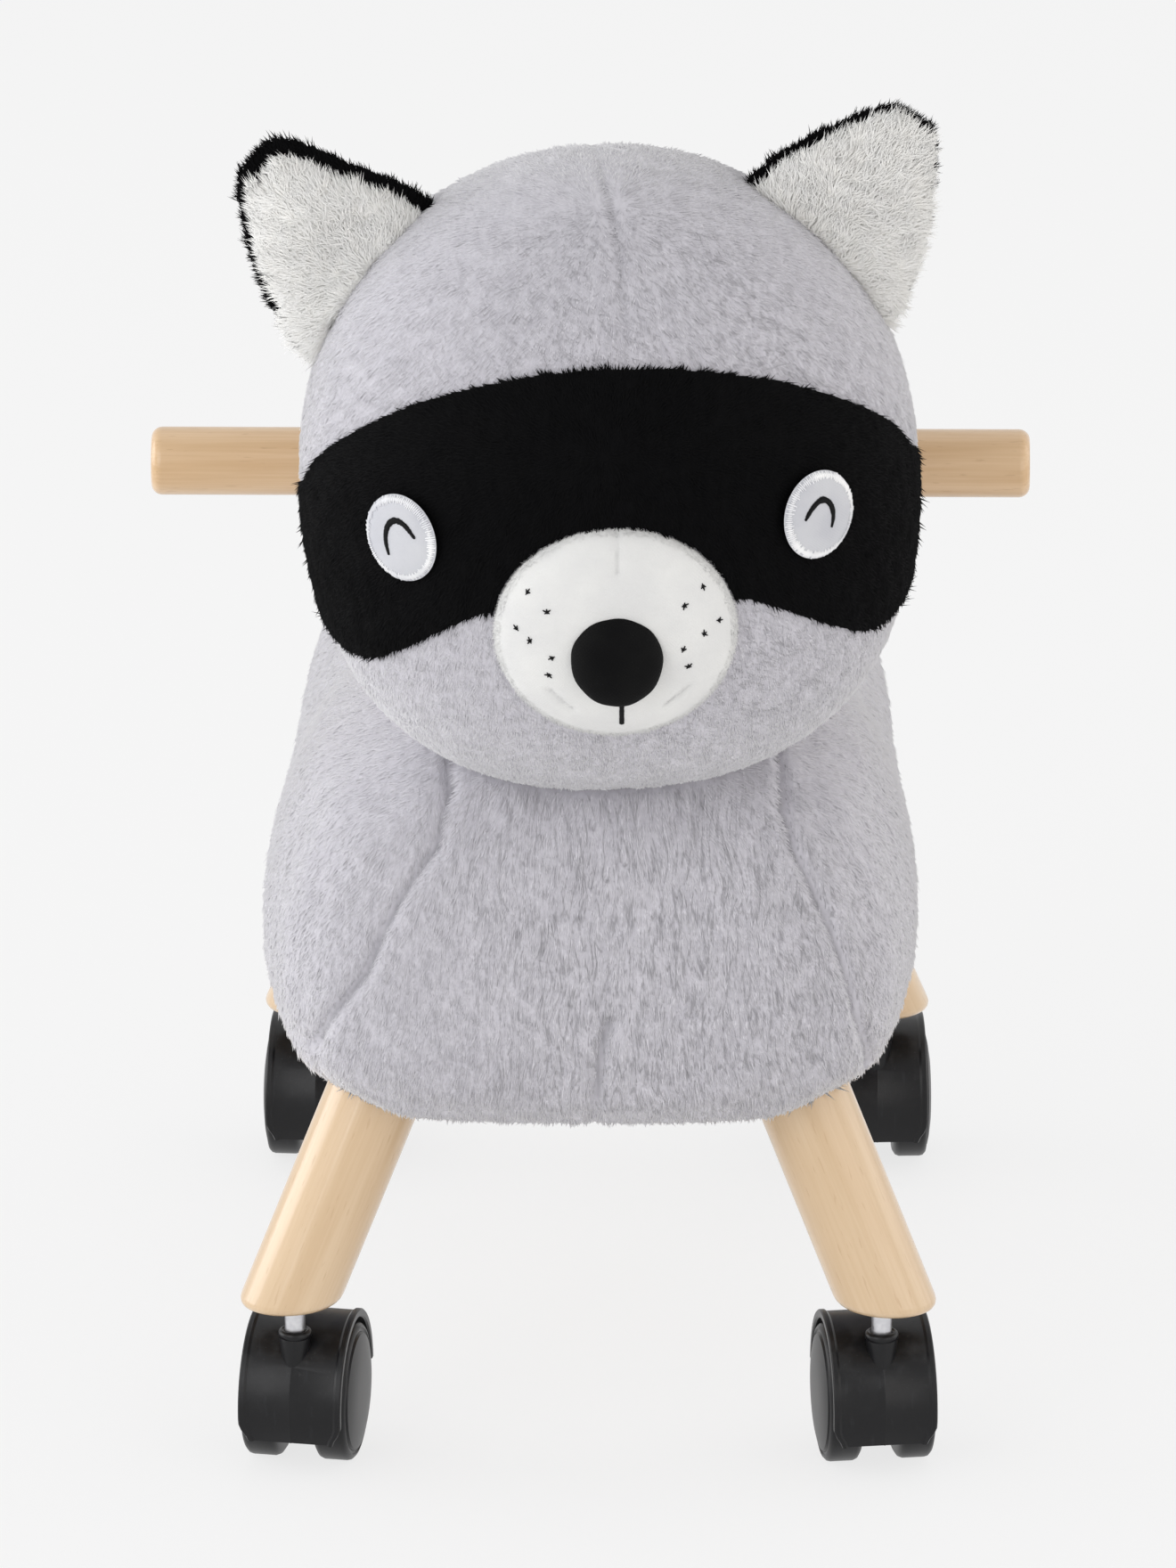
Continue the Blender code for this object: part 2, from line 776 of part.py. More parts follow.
def board_mesh():
    """Return the base board: rounded corners, drilled holes, its rail screws."""
    bm = box(board_width, board_length, board_thickness, board_corner_radius, 2)
    moved(bm, at(0, 0, board_height))
    radius = stud_radius + stud_hole_gap
    places = []
    holes = []
    for side_x, side_y, _ in castor_places.values():
        middle = leg_point(side_x, side_y, board_height)
        hole = cylinder(radius, -board_thickness, 2 * board_thickness, 8)
        holes.append(moved(hole, Matrix.Translation(middle)))
        places += bracket_screw_places(side_x, side_y)
    bm = boolean(bm, combine(*holes))
    radius = screw_radius + seat_gap
    deep = screw_bite_length + seat_gap
    bm = boolean(bm, copies(
        lambda: cylinder(radius, -cut_overrun_length, deep, screw_steps), places,
    ))
    bolt = cylinder(bolt_radius + seat_gap, -board_thickness, 2 * board_thickness, 8)
    bm = boolean(bm, moved(bolt, at(0, handle_place, board_height)))
    return boolean(bm, copies(
        lambda: cylinder(screw_radius, -screw_bite_length, screw_bite_length / 2, screw_steps),
        rail_screw_places(),
    ), "UNION")


def rail_mesh(side):
    """Return one rail under the board, drilled from above and from below."""
    height = board_height - rail_underside - seat_gap
    bm = box(rail_width, rail_length, height)
    moved(bm, at(side * rail_spacing_width / 2, 0, rail_underside))
    radius = screw_radius + seat_gap
    deep = screw_bite_length + seat_gap
    above = copies(
        lambda: cylinder(radius, -deep, cut_overrun_length, screw_steps), rail_screw_places(),
    )
    below = copies(
        lambda: cylinder(radius, -cut_overrun_length / 2, deep, screw_steps), panel_screw_places(),
    )
    return boolean(boolean(bm, above), below)


def panel_mesh():
    """Return the belly panel with its screws up into the rails."""
    bm = box(panel_width, panel_length, panel_thickness, panel_corner_radius, 3)
    moved(bm, at(0, 0, panel_underside))
    return boolean(bm, copies(
        lambda: cylinder(screw_radius, -panel_thickness / 2, screw_bite_length, screw_steps),
        panel_screw_places(),
    ), "UNION")


def bolt_mesh():
    """Return the hexagon bolt and washer that hold the post down on the board."""
    low = -bolt_head_height - bolt_washer_height
    length = board_thickness + bolt_post_length
    head = cylinder(bolt_head_radius, low, seat_gap - bolt_washer_height, 6)
    bm = turned((
        (0, -bolt_washer_height), (bolt_washer_radius, -bolt_washer_height),
        (bolt_washer_radius, 0), (bolt_radius, 0),
        (bolt_radius, length - axle_chamfer_width), (bolt_radius - axle_chamfer_width, length),
        (0, length),
    ), 8)
    bm = boolean(bm, head, "UNION")
    return moved(bm, at(0, handle_place, board_height - seat_gap))


def post_mesh():
    """Return the post, drilled for the handle bar, its screw and the bolt."""
    foot = board_top + seat_gap
    top = handle_height + post_top_height
    bm = moved(box(post_width, post_depth, top - foot), at(0, handle_place, foot))
    bore = cylinder(handle_radius + seat_gap, -post_width, post_width, 16)
    moved(bore, Matrix.Rotation(math.pi / 2, 4, "Y"))
    bm = boolean(bm, moved(bore, at(0, handle_place, handle_height)))
    bolt = cylinder(bolt_radius + seat_gap, -cut_overrun_length, bolt_post_length + seat_gap, 8)
    bm = boolean(bm, moved(bolt, at(0, handle_place, board_top)))
    return boolean(bm, handle_screw(screw_hole))


def handle_screw(make):
    """Return the screw, or its hole, down through the post and the handle bar."""
    top = handle_height + post_top_height
    place = at(0, handle_place, top) @ Matrix.Rotation(math.pi, 4, "X")
    return moved(make(handle_screw_length), place)


def gusset_mesh(side):
    """Return the plywood gusset on one side of the post."""
    foot = board_top + seat_gap
    half = post_depth / 2
    outline = (
        (handle_place - half - gusset_foot_length, foot),
        (handle_place + half + gusset_foot_length, foot),
        (handle_place + half, foot + gusset_height),
        (handle_place - half, foot + gusset_height),
    )
    bm = prism(outline, -gusset_thickness / 2, gusset_thickness / 2)
    upright = Matrix(((0, 0, 1, 0), (1, 0, 0, 0), (0, 1, 0, 0), (0, 0, 0, 1)))
    out = (post_width + gusset_thickness) / 2 + seat_gap
    return moved(bm, at(side * out, 0, 0) @ upright)


def handle_mesh():
    """Return the turned handle bar along X, drilled for its screw."""
    half = handle_length / 2
    ends = [
        (handle_radius - handle_end_radius + x, half - handle_end_radius + y)
        for x, y in arc((0, 0), handle_end_radius, math.pi / 2, 0, 2)
    ]
    profile = [(0, half), *ends, *[(r, -z) for r, z in reversed(ends)], (0, -half)]
    bm = moved(turned(profile, 16), Matrix.Rotation(math.pi / 2, 4, "Y"))
    moved(bm, at(0, handle_place, handle_height))
    return boolean(bm, handle_screw(screw_hole))


def superellipse(angle, half_width, low, high):
    """Return one point of a section that is boxier below than above."""
    power = low_power if math.sin(angle) < 0 else high_power
    across = math.cos(angle)
    up = math.sin(angle)
    size = (abs(across) ** power + abs(up) ** power) ** (-1 / power)
    return half_width * across * size, (low if up < 0 else high) * up * size


def body_skin(offset):
    """Return the closed form of the body, grown by the offset."""
    rings = []
    half = body_length / 2 + offset
    for place, width, below, above in body_shares:
        ring = []
        for step in range(body_segments):
            x, z = superellipse(
                math.tau * step / body_segments,
                body_half_width * width + offset,
                (widest_height - belly_height) * below + offset,
                (back_height - widest_height) * above + offset,
            )
            ring.append((x, body_centre + half * place, widest_height + z))
        rings.append(ring)
    return loft(rings)


def head_place():
    """Return the matrix that rolls, turns and places the head."""
    turn = Matrix.Rotation(-head_roll, 4, "Y") @ Matrix.Rotation(head_turn, 4, "Z")
    return Matrix.Translation(head_centre) @ turn


def head_point(direction, offset):
    """Return the point of the head's form in a direction, grown by the offset."""
    below = min(max(-direction.z * jaw_share, 0), 1)
    power = head_power + jaw_power * below * below * (3 - 2 * below)
    size = sum(abs(part) ** power for part in direction) ** (-1 / power)
    return Vector((
        direction.x * size * (head_half_width + offset),
        direction.y * size * (head_half_depth + offset),
        direction.z * size * (head_half_height + offset),
    ))


def head_skin(offset):
    """Return the closed form of the head in its own axes, grown by the offset."""
    bm = bmesh.new()
    bmesh.ops.create_uvsphere(
        bm, u_segments=head_segments, v_segments=head_rings, radius=1,
    )
    for vert in bm.verts:
        vert.co = head_point(vert.co.normalized(), offset)
    bmesh.ops.triangulate(bm, faces=bm.faces[:], quad_method="FIXED")
    return bm


def ellipsoid(half_x, half_y, half_z, segments, rings):
    """Return an ellipsoid about the origin with its poles at +Y and -Y."""
    bm = bmesh.new()
    bmesh.ops.create_uvsphere(bm, u_segments=segments, v_segments=rings, radius=1)
    bmesh.ops.rotate(bm, matrix=Matrix.Rotation(math.pi / 2, 3, "X"), verts=bm.verts[:])
    bmesh.ops.scale(bm, vec=(half_x, half_y, half_z), verts=bm.verts[:])
    bmesh.ops.triangulate(bm, faces=bm.faces[:], quad_method="FIXED")
    return bm


def leg_cutters(room):
    """Return the four legs' straight forms, grown by the room round them."""
    return combine(*[
        along_leg(
            cylinder(leg_radius + room, 0, leg_length, leg_steps), side_x, side_y, leg_end,
        )
        for side_x, side_y, _ in castor_places.values()
    ])


def handle_cutter(room):
    """Return the handle bar's straight form, grown by the room round it."""
    bm = cylinder(handle_radius + room, -handle_length, handle_length, 16)
    moved(bm, Matrix.Rotation(math.pi / 2, 4, "Y"))
    return moved(bm, at(0, handle_place, handle_height))


def post_cutter(room):
    """Return the post's form from the board up, grown by the room round it."""
    height = handle_height + post_top_height + room - board_height
    bm = box(post_width + 2 * room, post_depth + 2 * room, height)
    return moved(bm, at(0, handle_place, board_height))


def panel_cutter():
    """Return the opening that the belly panel closes."""
    bm = box(
        panel_width + 2 * soft_gap, panel_length + 2 * soft_gap,
        2 * cut_overrun_length, panel_corner_radius + soft_gap, 3,
    )
    return moved(bm, at(0, 0, panel_underside - cut_overrun_length))


def pocket():
    """Return the room in the stuffing for the board, the post and the foam."""
    frame = box(
        board_width + 2 * soft_gap, board_length + 2 * soft_gap,
        board_top + soft_gap - belly_height + cut_overrun_length,
        board_corner_radius + soft_gap, 4,
    )
    moved(frame, at(0, 0, belly_height - cut_overrun_length))
    brace = box(
        post_width + 2 * (seat_gap + gusset_thickness + soft_gap),
        post_depth + 2 * (gusset_foot_length + soft_gap),
        gusset_height + board_thickness + 2 * soft_gap,
    )
    moved(brace, at(0, handle_place, board_height))
    seat = box(
        foam_width + 2 * soft_gap, foam_length + 2 * soft_gap,
        board_thickness + foam_height + 2 * soft_gap, foam_edge_radius, 3,
    )
    moved(seat, at(0, foam_start + foam_length / 2, board_height))
    bm = boolean(frame, brace, "UNION")
    bm = boolean(bm, seat, "UNION")
    return boolean(bm, post_cutter(soft_gap), "UNION")


def head_form(offset):
    """Return the head's form where it sits on the body."""
    return moved(head_skin(offset), head_place())


def body_cover_mesh():
    """Return the plush cover, open for the head, the legs and the belly panel."""
    bm = hollow(body_skin(0), body_skin(-cover_thickness))
    bm = boolean(bm, head_form(seat_gap))
    bm = boolean(bm, post_cutter(soft_gap))
    bm = boolean(bm, leg_cutters(soft_gap))
    return boolean(bm, panel_cutter())


def body_stuffing_mesh():
    """Return the stuffing between the cover and the inner frame."""
    bm = boolean(body_skin(-cover_thickness - soft_gap), head_form(seat_gap))
    bm = boolean(bm, pocket())
    return boolean(bm, leg_cutters(soft_gap))


def foam_mesh():
    """Return the seat foam on the board."""
    bm = box(foam_width, foam_length, foam_height, foam_edge_radius, 3)
    place = board_top + seat_gap
    return moved(bm, at(0, foam_start + foam_length / 2, place))


def head_cover_mesh():
    """Return the head's plush shell, open for the handle bar and the post."""
    bm = hollow(head_form(0), head_form(-cover_thickness))
    bm = boolean(bm, handle_cutter(soft_gap))
    return boolean(bm, post_cutter(soft_gap))


def head_stuffing_mesh():
    """Return the stuffing in the head, round the post and the handle bar."""
    bm = boolean(head_form(-cover_thickness - soft_gap), handle_cutter(soft_gap))
    return boolean(bm, post_cutter(soft_gap))


def muzzle_form(offset):
    """Return the padded muzzle's form in the head's axes."""
    bm = ellipsoid(
        muzzle_half_width + offset, muzzle_half_depth + offset,
        muzzle_half_height + offset, 18, 8,
    )
    moved(bm, Matrix.Rotation(muzzle_tilt, 4, "X"))
    depth = head_half_depth + muzzle_proud_depth - muzzle_half_depth
    return moved(bm, at(0, -depth, -muzzle_drop_height))


def mask_mesh():
    """Return the black mask: a skin on the head, round the muzzle."""
    inner = seat_gap
    bm = hollow(head_skin(inner + mask_thickness), head_skin(inner))
    side = [(x * head_half_width, z * head_half_height) for x, z in mask_shares]
    outline = side + [(-x, z) for x, z in reversed(side[1:])]
    front = prism(outline, mask_setback_depth, 2 * head_half_depth)
    moved(front, Matrix.Rotation(math.pi / 2, 4, "X"))
    bm = boolean(bm, front, "INTERSECT")
    return boolean(bm, muzzle_form(seat_gap))


def muzzle_mesh():
    """Return the white muzzle, seated on the head."""
    return boolean(muzzle_form(0), head_skin(seat_gap))


def nose_mesh():
    """Return the black nose, seated on the muzzle."""
    bm = ellipsoid(nose_half_width, nose_half_depth, nose_half_height, 14, 8)
    moved(bm, at(0, nose_half_depth - nose_reach, -nose_drop_height))
    return boolean(bm, muzzle_form(seat_gap))


def eye_mesh(side):
    """Return one padded eye disc, seated on the mask."""
    level = math.cos(eye_rise_angle)
    direction = Vector((
        side * math.sin(eye_side_angle) * level,
        -math.cos(eye_side_angle) * level,
        math.sin(eye_rise_angle),
    ))
    offset = 2 * seat_gap + mask_thickness
    bm = ellipsoid(eye_half_width, eye_half_depth, eye_half_height, 14, 6)
    moved(bm, Matrix.Rotation(side * eye_lean, 4, "Y"))
    moved(bm, Matrix.Rotation(side * eye_side_angle, 4, "Z"))
    moved(bm, Matrix.Translation(head_point(direction, offset + eye_proud_depth)))
    return boolean(bm, head_skin(offset))


def ear_mesh(side, facing):
    """Return half an ear in the head's axes, the front for -1, the back for +1."""
    up = Vector((side * math.sin(ear_splay), 0, math.cos(ear_splay)))
    across = Vector((math.cos(ear_splay), 0, -side * math.sin(ear_splay)))
    root = Vector((side * ear_base_width, ear_base_depth, ear_base_height))
    out = Vector((0, facing, 0))
    rings = []
    for place, width, depth in ear_shares:
        middle = root + up * ear_height * place + out * seat_gap / 2
        ring = []
        for step in range(ear_segments + 1):
            angle = math.pi * step / ear_segments
            ring.append(
                middle
                + across * ear_half_width * width * math.cos(angle)
                + out * ear_half_depth * depth * math.sin(angle)
            )
        rings.append(ring)
    return boolean(loft(rings), head_skin(seat_gap))


def tail_mesh():
    """Return the short tail, banded by creases, its root cut to the rump."""
    root = (-tail_root_share, tail_shares[0][1])
    rings = []
    for place, size in (root, *tail_shares):
        height = tail_height - tail_droop_height * max(place, 0)
        rings.append([
            (
                tail_radius * size * math.cos(math.tau * step / tail_segments),
                body_rear + tail_length * place,
                height + tail_radius * size * math.sin(math.tau * step / tail_segments),
            )
            for step in range(tail_segments)
        ])
    return boolean(loft(rings), body_skin(seat_gap))


clear_objects()

castor_meshes = {}
for part, bm, finish in (
    ("hood", hood_mesh(), "grey_plastic"),
    ("stem", stem_mesh(), "steel"),
    ("axle", axle_mesh(), "steel"),
    ("wheel", wheel_mesh(), "tread_plastic"),
):
    model = mesh_object(part, bm, finish)
    castor_meshes[part] = model.data
    bpy.data.objects.remove(model)
wheel_shared = castor_meshes.pop("wheel")

for corner, (side_x, side_y, turn) in castor_places.items():
    build_castor(corner, side_x, side_y, turn)
    mesh_object("leg_" + corner, leg_mesh(side_x, side_y), "beech")
    mesh_object("leg_bracket_" + corner, bracket_mesh(side_x, side_y), "steel")
    sleeve = mesh_object("sleeve_" + corner, sleeve_mesh(), "steel")
    sleeve.location = (side_x * track_width / 2, side_y * wheelbase_length / 2, 0)

mesh_object("base_board", board_mesh(), "plywood")
mesh_object("belly_panel", panel_mesh(), "plywood")
mesh_object("neck_post", post_mesh(), "beech")
mesh_object("post_bolt", bolt_mesh(), "steel")
mesh_object("handle_bar", handle_mesh(), "beech")
mesh_object("handle_screw", handle_screw(screw_mesh), "steel")

mesh_object("body_cover", body_cover_mesh(), "grey_plush")
mesh_object("body_stuffing", body_stuffing_mesh(), "stuffing")
mesh_object("seat_foam", foam_mesh(), "foam")
mesh_object("head_cover", head_cover_mesh(), "grey_plush")
mesh_object("head_stuffing", head_stuffing_mesh(), "stuffing")

head = empty_object("head", head_centre)
head.matrix_world = head_place()
mesh_object("mask_patch", mask_mesh(), "black_plush", head)
mesh_object("muzzle", muzzle_mesh(), "white_velour", head)
mesh_object("nose", nose_mesh(), "nose_fabric", head)
for name, side in (("left", 1), ("right", -1)):
    mesh_object("board_rail_" + name, rail_mesh(side), "beech")
    mesh_object("neck_gusset_" + name, gusset_mesh(side), "plywood")
    mesh_object("eye_" + name, eye_mesh(side), "eye_satin", head)
    mesh_object("ear_front_" + name, ear_mesh(side, -1), "white_fur", head)
    mesh_object("ear_back_" + name, ear_mesh(side, 1), "black_plush", head)

mesh_object("tail", tail_mesh(), "grey_plush")
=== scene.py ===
"""Looks of a ride-on plush raccoon on four swivelling twin-wheel castors.

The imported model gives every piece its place. This script dresses the pieces that keep
their shape, replaces the faceted and the soft ones with finer models of the same size,
grows their fur, and sets the camera and the lights of the photograph.

Metres, +Z up. The animal faces -Y, and left is the rider's left, at +X.
"""

import sys

import logging
import math
from collections.abc import Callable, Iterator, Mapping, Sequence
from contextlib import contextmanager
from dataclasses import dataclass, replace
from enum import Enum

import bmesh
import bpy
import numpy as np
from mathutils import Matrix, Vector
from mathutils.bvhtree import BVHTree


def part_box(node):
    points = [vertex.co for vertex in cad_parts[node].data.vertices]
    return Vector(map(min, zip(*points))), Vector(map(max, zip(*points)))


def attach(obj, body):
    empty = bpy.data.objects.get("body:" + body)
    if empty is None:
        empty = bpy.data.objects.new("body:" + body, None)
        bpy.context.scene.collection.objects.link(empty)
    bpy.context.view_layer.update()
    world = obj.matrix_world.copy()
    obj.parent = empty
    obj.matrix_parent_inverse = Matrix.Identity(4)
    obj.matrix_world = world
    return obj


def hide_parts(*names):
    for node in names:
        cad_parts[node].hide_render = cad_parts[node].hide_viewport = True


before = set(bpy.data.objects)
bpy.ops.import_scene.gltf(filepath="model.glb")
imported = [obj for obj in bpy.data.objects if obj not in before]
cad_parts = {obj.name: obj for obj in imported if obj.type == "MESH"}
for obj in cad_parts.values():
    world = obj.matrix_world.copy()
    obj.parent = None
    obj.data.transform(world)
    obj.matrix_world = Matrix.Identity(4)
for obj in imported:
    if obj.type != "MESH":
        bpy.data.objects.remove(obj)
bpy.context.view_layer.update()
log = logging.getLogger("raccoon")

Colour = tuple[float, float, float]
Points = np.ndarray
Piece = bpy.types.Object
Socket = bpy.types.NodeSocket

QUARTER = math.pi / 2
WELD = 0.00001


def linear(red: int, green: int, blue: int) -> Colour:
    """Return the linear colour of screen values from 0 to 255.

    Args:
        red: The red value.
        green: The green value.
        blue: The blue value.

    Returns:
        The colour that a shader takes.
    """
    shares = (value / 255 for value in (red, green, blue))
    return tuple(
        share / 12.92 if share <= 0.04045 else ((share + 0.055) / 1.055) ** 2.4
        for share in shares
    )


def dimmed(colour: Colour, share: float, lift: float = 0.0) -> Colour:
    """Return a colour times a share, plus a lift, never paler than cloth can be."""
    return tuple(min(part * share + lift, 0.95) for part in colour)


class Side(Enum):
    """The two sides of the animal, as the sign of X."""

    LEFT = 1
    RIGHT = -1

    @property
    def word(self) -> str:
        """Return the side's word in a node's name."""
        return self.name.lower()


class NodeDesk:
    """Adds shader nodes to one node tree and wires them."""

    def __init__(self, tree: bpy.types.NodeTree) -> None:
        """Take the tree that the nodes go into."""
        self.tree = tree

    def add(self, kind: str, values: Mapping | None = None,
            **settings: object) -> bpy.types.Node:
        """Add a node.

        Args:
            kind: The node's type name after its prefix.
            values: What its inputs get, by name or by number.
            **settings: Values of its own properties.

        Returns:
            The new node.
        """
        node = self.tree.nodes.new("ShaderNode" + kind)
        for name, value in settings.items():
            setattr(node, name, value)
        self.feed(node, values or {})
        return node

    def feed(self, node: bpy.types.Node, values: Mapping) -> None:
        """Wire a node's inputs to sockets, or set their values.

        Args:
            node: The node.
            values: The sockets and values, by the input's name or number.
        """
        for key, value in values.items():
            socket = node.inputs[key]
            if isinstance(value, Socket):
                self.tree.links.new(value, socket)
            else:
                socket.default_value = (*value, 1.0) if socket.type == "RGBA" else value

    def maths(self, operation: str, first: object, *others: object) -> Socket:
        """Return the result of a Math node, or of a chain of them.

        Args:
            operation: The nodes' operation.
            first: A value or a socket.
            *others: What each node of the chain adds to it.

        Returns:
            The output socket.
        """
        for other in others or (0.0,):
            first = self.add("Math", {0: first, 1: other}, operation=operation).outputs[0]
        return first

    def plus(self, *values: object) -> Socket:
        """Return the sum of values."""
        return self.maths("ADD", *values)

    def times(self, *values: object) -> Socket:
        """Return the product of values."""
        return self.maths("MULTIPLY", *values)

    def stretch(self, vector: object, scale: object) -> Socket:
        """Return a vector multiplied by another, part by part."""
        return self.add("VectorMath", {0: vector, 1: scale}, operation="MULTIPLY").outputs[0]

    def noise(self, vector: object, scale: float, detail: float) -> Socket:
        """Return smooth noise between 0 and 1.

        Args:
            vector: Where it is read.
            scale: Its features in each metre.
            detail: How many finer layers it has.

        Returns:
            The output socket.
        """
        values = {"Vector": vector, "Scale": scale, "Detail": detail}
        return self.add("TexNoise", values).outputs["Fac"]

    def ramp(self, value: object, low: float, high: float,
             to_low: float = 0.0, to_high: float = 1.0) -> Socket:
        """Return a value eased from one range to another.

        Args:
            value: The socket to ease.
            low: Where the range starts.
            high: Where it ends.
            to_low: The result below the range.
            to_high: The result above it.

        Returns:
            The output socket.
        """
        values = dict(enumerate((value, low, high, to_low, to_high)))
        return self.add("MapRange", values, interpolation_type="SMOOTHSTEP").outputs[0]

    def blend(self, share: object, first: object, second: object) -> Socket:
        """Return a mix of two colours, with the share of the second."""
        return self.add("Mix", {0: share, 6: first, 7: second}, data_type="RGBA").outputs[2]

    def blend_values(self, share: object, first: object, second: object) -> Socket:
        """Return a mix of two values, with the share of the second."""
        return self.add("Mix", {0: share, 2: first, 3: second}, data_type="FLOAT").outputs[0]

    def place(self) -> Socket:
        """Return the place on the piece, in metres."""
        return self.add("TexCoord").outputs["Object"]

    def parts(self, vector: Socket) -> Sequence[Socket]:
        """Return a vector's three parts."""
        return self.add("SeparateXYZ", {0: vector}).outputs

    def facing(self, axis: int) -> Socket:
        """Return how far the surface faces along one axis, from -1 to 1."""
        return self.parts(self.add("NewGeometry").outputs["Normal"])[axis]

    def fact(self, name: str) -> Socket:
        """Return a value that the mesh carries."""
        return self.add("Attribute", attribute_name=name).outputs["Fac"]

    def bump(self, height: Socket, strength: float, depth: float) -> Socket:
        """Return the normal of a raised surface.

        Args:
            height: The socket with the height.
            strength: How strong it shows.
            depth: What a height of one is, in metres.

        Returns:
            The output socket.
        """
        values = {"Strength": strength, "Distance": depth, "Height": height}
        return self.add("Bump", values).outputs["Normal"]

    def seen(self) -> Socket:
        """Return 1 for the rays that show a thing itself, and 0 for those of its light."""
        rays = self.add("LightPath").outputs
        kinds = ("Is Camera Ray", "Is Glossy Ray", "Is Transmission Ray")
        return self.maths("MAXIMUM", *(rays[kind] for kind in kinds))


class Effect:
    """A node group that finishes share, built on first use.

    Attributes:
        name: The group's name.
        inputs: Its inputs with their defaults, a vector where that is a tuple.
        outputs: Its value outputs.
    """

    name: str
    inputs: Mapping[str, object]
    outputs: Sequence[str]

    @classmethod
    def laid(cls, desk: NodeDesk, values: Mapping[str, object]) -> Sequence[Socket]:
        """Lay the effect in a material.

        Args:
            desk: The material's desk.
            values: What its inputs get.

        Returns:
            Its outputs, by name.
        """
        group = bpy.data.node_groups.get(cls.name) or cls.build()
        return desk.add("Group", values, node_tree=group).outputs

    @classmethod
    def build(cls) -> bpy.types.NodeTree:
        """Build the node group."""
        group = bpy.data.node_groups.new(cls.name, "ShaderNodeTree")
        sockets = group.interface
        for label, value in cls.inputs.items():
            kind = "NodeSocketVector" if isinstance(value, tuple) else "NodeSocketFloat"
            socket = sockets.new_socket(name=label, in_out="INPUT", socket_type=kind)
            socket.default_value = value
        for label in cls.outputs:
            sockets.new_socket(name=label, in_out="OUTPUT", socket_type="NodeSocketFloat")
        given = group.nodes.new("NodeGroupInput").outputs
        told = group.nodes.new("NodeGroupOutput")
        desk = NodeDesk(group)
        desk.feed(told, dict(zip(cls.outputs, cls.wire(desk, given))))
        return group

    @staticmethod
    def wire(desk: NodeDesk, given: Sequence[Socket]) -> tuple[Socket, ...]:
        """Wire the effect and return what its outputs tell."""
        raise NotImplementedError


class Nap(Effect):
    """The brushed relief of a short pile, combed down and back.

    The strands run with Z and Y where the cloth faces the front or the top, and with Z
    where it faces a side.
    """

    name = "brushed nap"
    inputs = {"Fineness": 620.0, "Run": 150.0}
    outputs = ("Height", "Tone")

    @staticmethod
    def wire(desk: NodeDesk, given: Sequence[Socket]) -> tuple[Socket, ...]:
        """Return the height and the tone."""
        fine, run = given["Fineness"], given["Run"]
        place = desk.place()
        swirl = desk.add("TexNoise", {"Vector": place, "Scale": 45.0}).outputs["Color"]
        shift = desk.stretch(swirl, (0.012, 0.012, 0.012))
        moved = desk.add("VectorMath", {0: place, 1: shift}, operation="ADD").outputs[0]
        strands = []
        for order in ((fine, run, run), (run, fine, run)):
            axes = desk.add("CombineXYZ", dict(enumerate(order))).outputs[0]
            lay = desk.stretch(moved, axes)
            strands.append((desk.noise(lay, 1.0, 3.0), desk.noise(lay, 0.42, 1.0)))
        side = desk.ramp(desk.maths("ABSOLUTE", desk.facing(0)), 0.55, 0.85)
        thin, broad = (desk.blend_values(side, *pair) for pair in zip(*strands))
        height = desk.plus(desk.times(thin, 0.6), desk.times(broad, 0.4))
        patches = desk.noise(place, 26.0, 2.0)
        tone = desk.plus(desk.times(height, 0.82), desk.times(patches, 0.18))
        return height, desk.ramp(tone, 0.30, 0.68)


class Partings(Effect):
    """The fine lines in which a brushed pile parts: creases, which the finish paints as shade,
    and streaks between them, which it paints as highlights.
    """

    name = "parted pile painted shade"
    inputs = {"Across": 210.0, "Along": 48.0, "Turn": 0.0}
    outputs = ("Crease", "Streak")

    @staticmethod
    def wire(desk: NodeDesk, given: Sequence[Socket]) -> tuple[Socket, ...]:
        """Return the masks of the creases and the streaks, for painted shade and painted
        highlights, as seen from the front.
        """
        place = desk.place()
        turn = {"Vector": place, "Angle": given["Turn"]}
        turned = desk.add("VectorRotate", turn, rotation_type="Y_AXIS").outputs[0]
        sideways, _, height = desk.parts(turned)
        fan = desk.plus(desk.times(height, 1.2), 0.75)
        drift = desk.noise(desk.stretch(place, (30.0, 0.0, 30.0)), 1.0, 1.0)
        lie = desk.plus(desk.times(sideways, fan), desk.times(drift, 0.012))
        across = desk.times(lie, given["Across"])
        along = desk.times(height, given["Along"])
        broad, fine = (
            desk.noise(desk.add("CombineXYZ", {
                0: desk.times(across, scale), 1: desk.times(along, scale),
            }).outputs[0], 1.0, 1.0)
            for scale in (1.0, 3.6)
        )
        off = desk.maths("ABSOLUTE", desk.maths("SUBTRACT", broad, 0.5))
        return desk.ramp(off, 0.0, 0.05, 1.0, 0.0), desk.ramp(fine, 0.48, 0.66)


class Grain(Effect):
    """The grain of a pale hardwood that runs along Z."""

    name = "hardwood grain"
    inputs = {"Place": (0.0, 0.0, 0.0)}
    outputs = ("Tone", "Flecks", "Height")

    @staticmethod
    def wire(desk: NodeDesk, given: Sequence[Socket]) -> tuple[Socket, ...]:
        """Return the tone, the dark flecks and the height."""
        bands, fibres, rays = (
            desk.noise(desk.stretch(given["Place"], scale), 1.0, detail)
            for scale, detail in (
                ((110.0, 110.0, 7.0), 3.0), ((1100.0, 1100.0, 26.0), 2.0),
                ((900.0, 900.0, 120.0), 1.0),
            )
        )
        tone = desk.plus(bands, desk.times(fibres, 0.35))
        return desk.ramp(tone, 0.45, 0.95), desk.ramp(rays, 0.66, 0.74), fibres


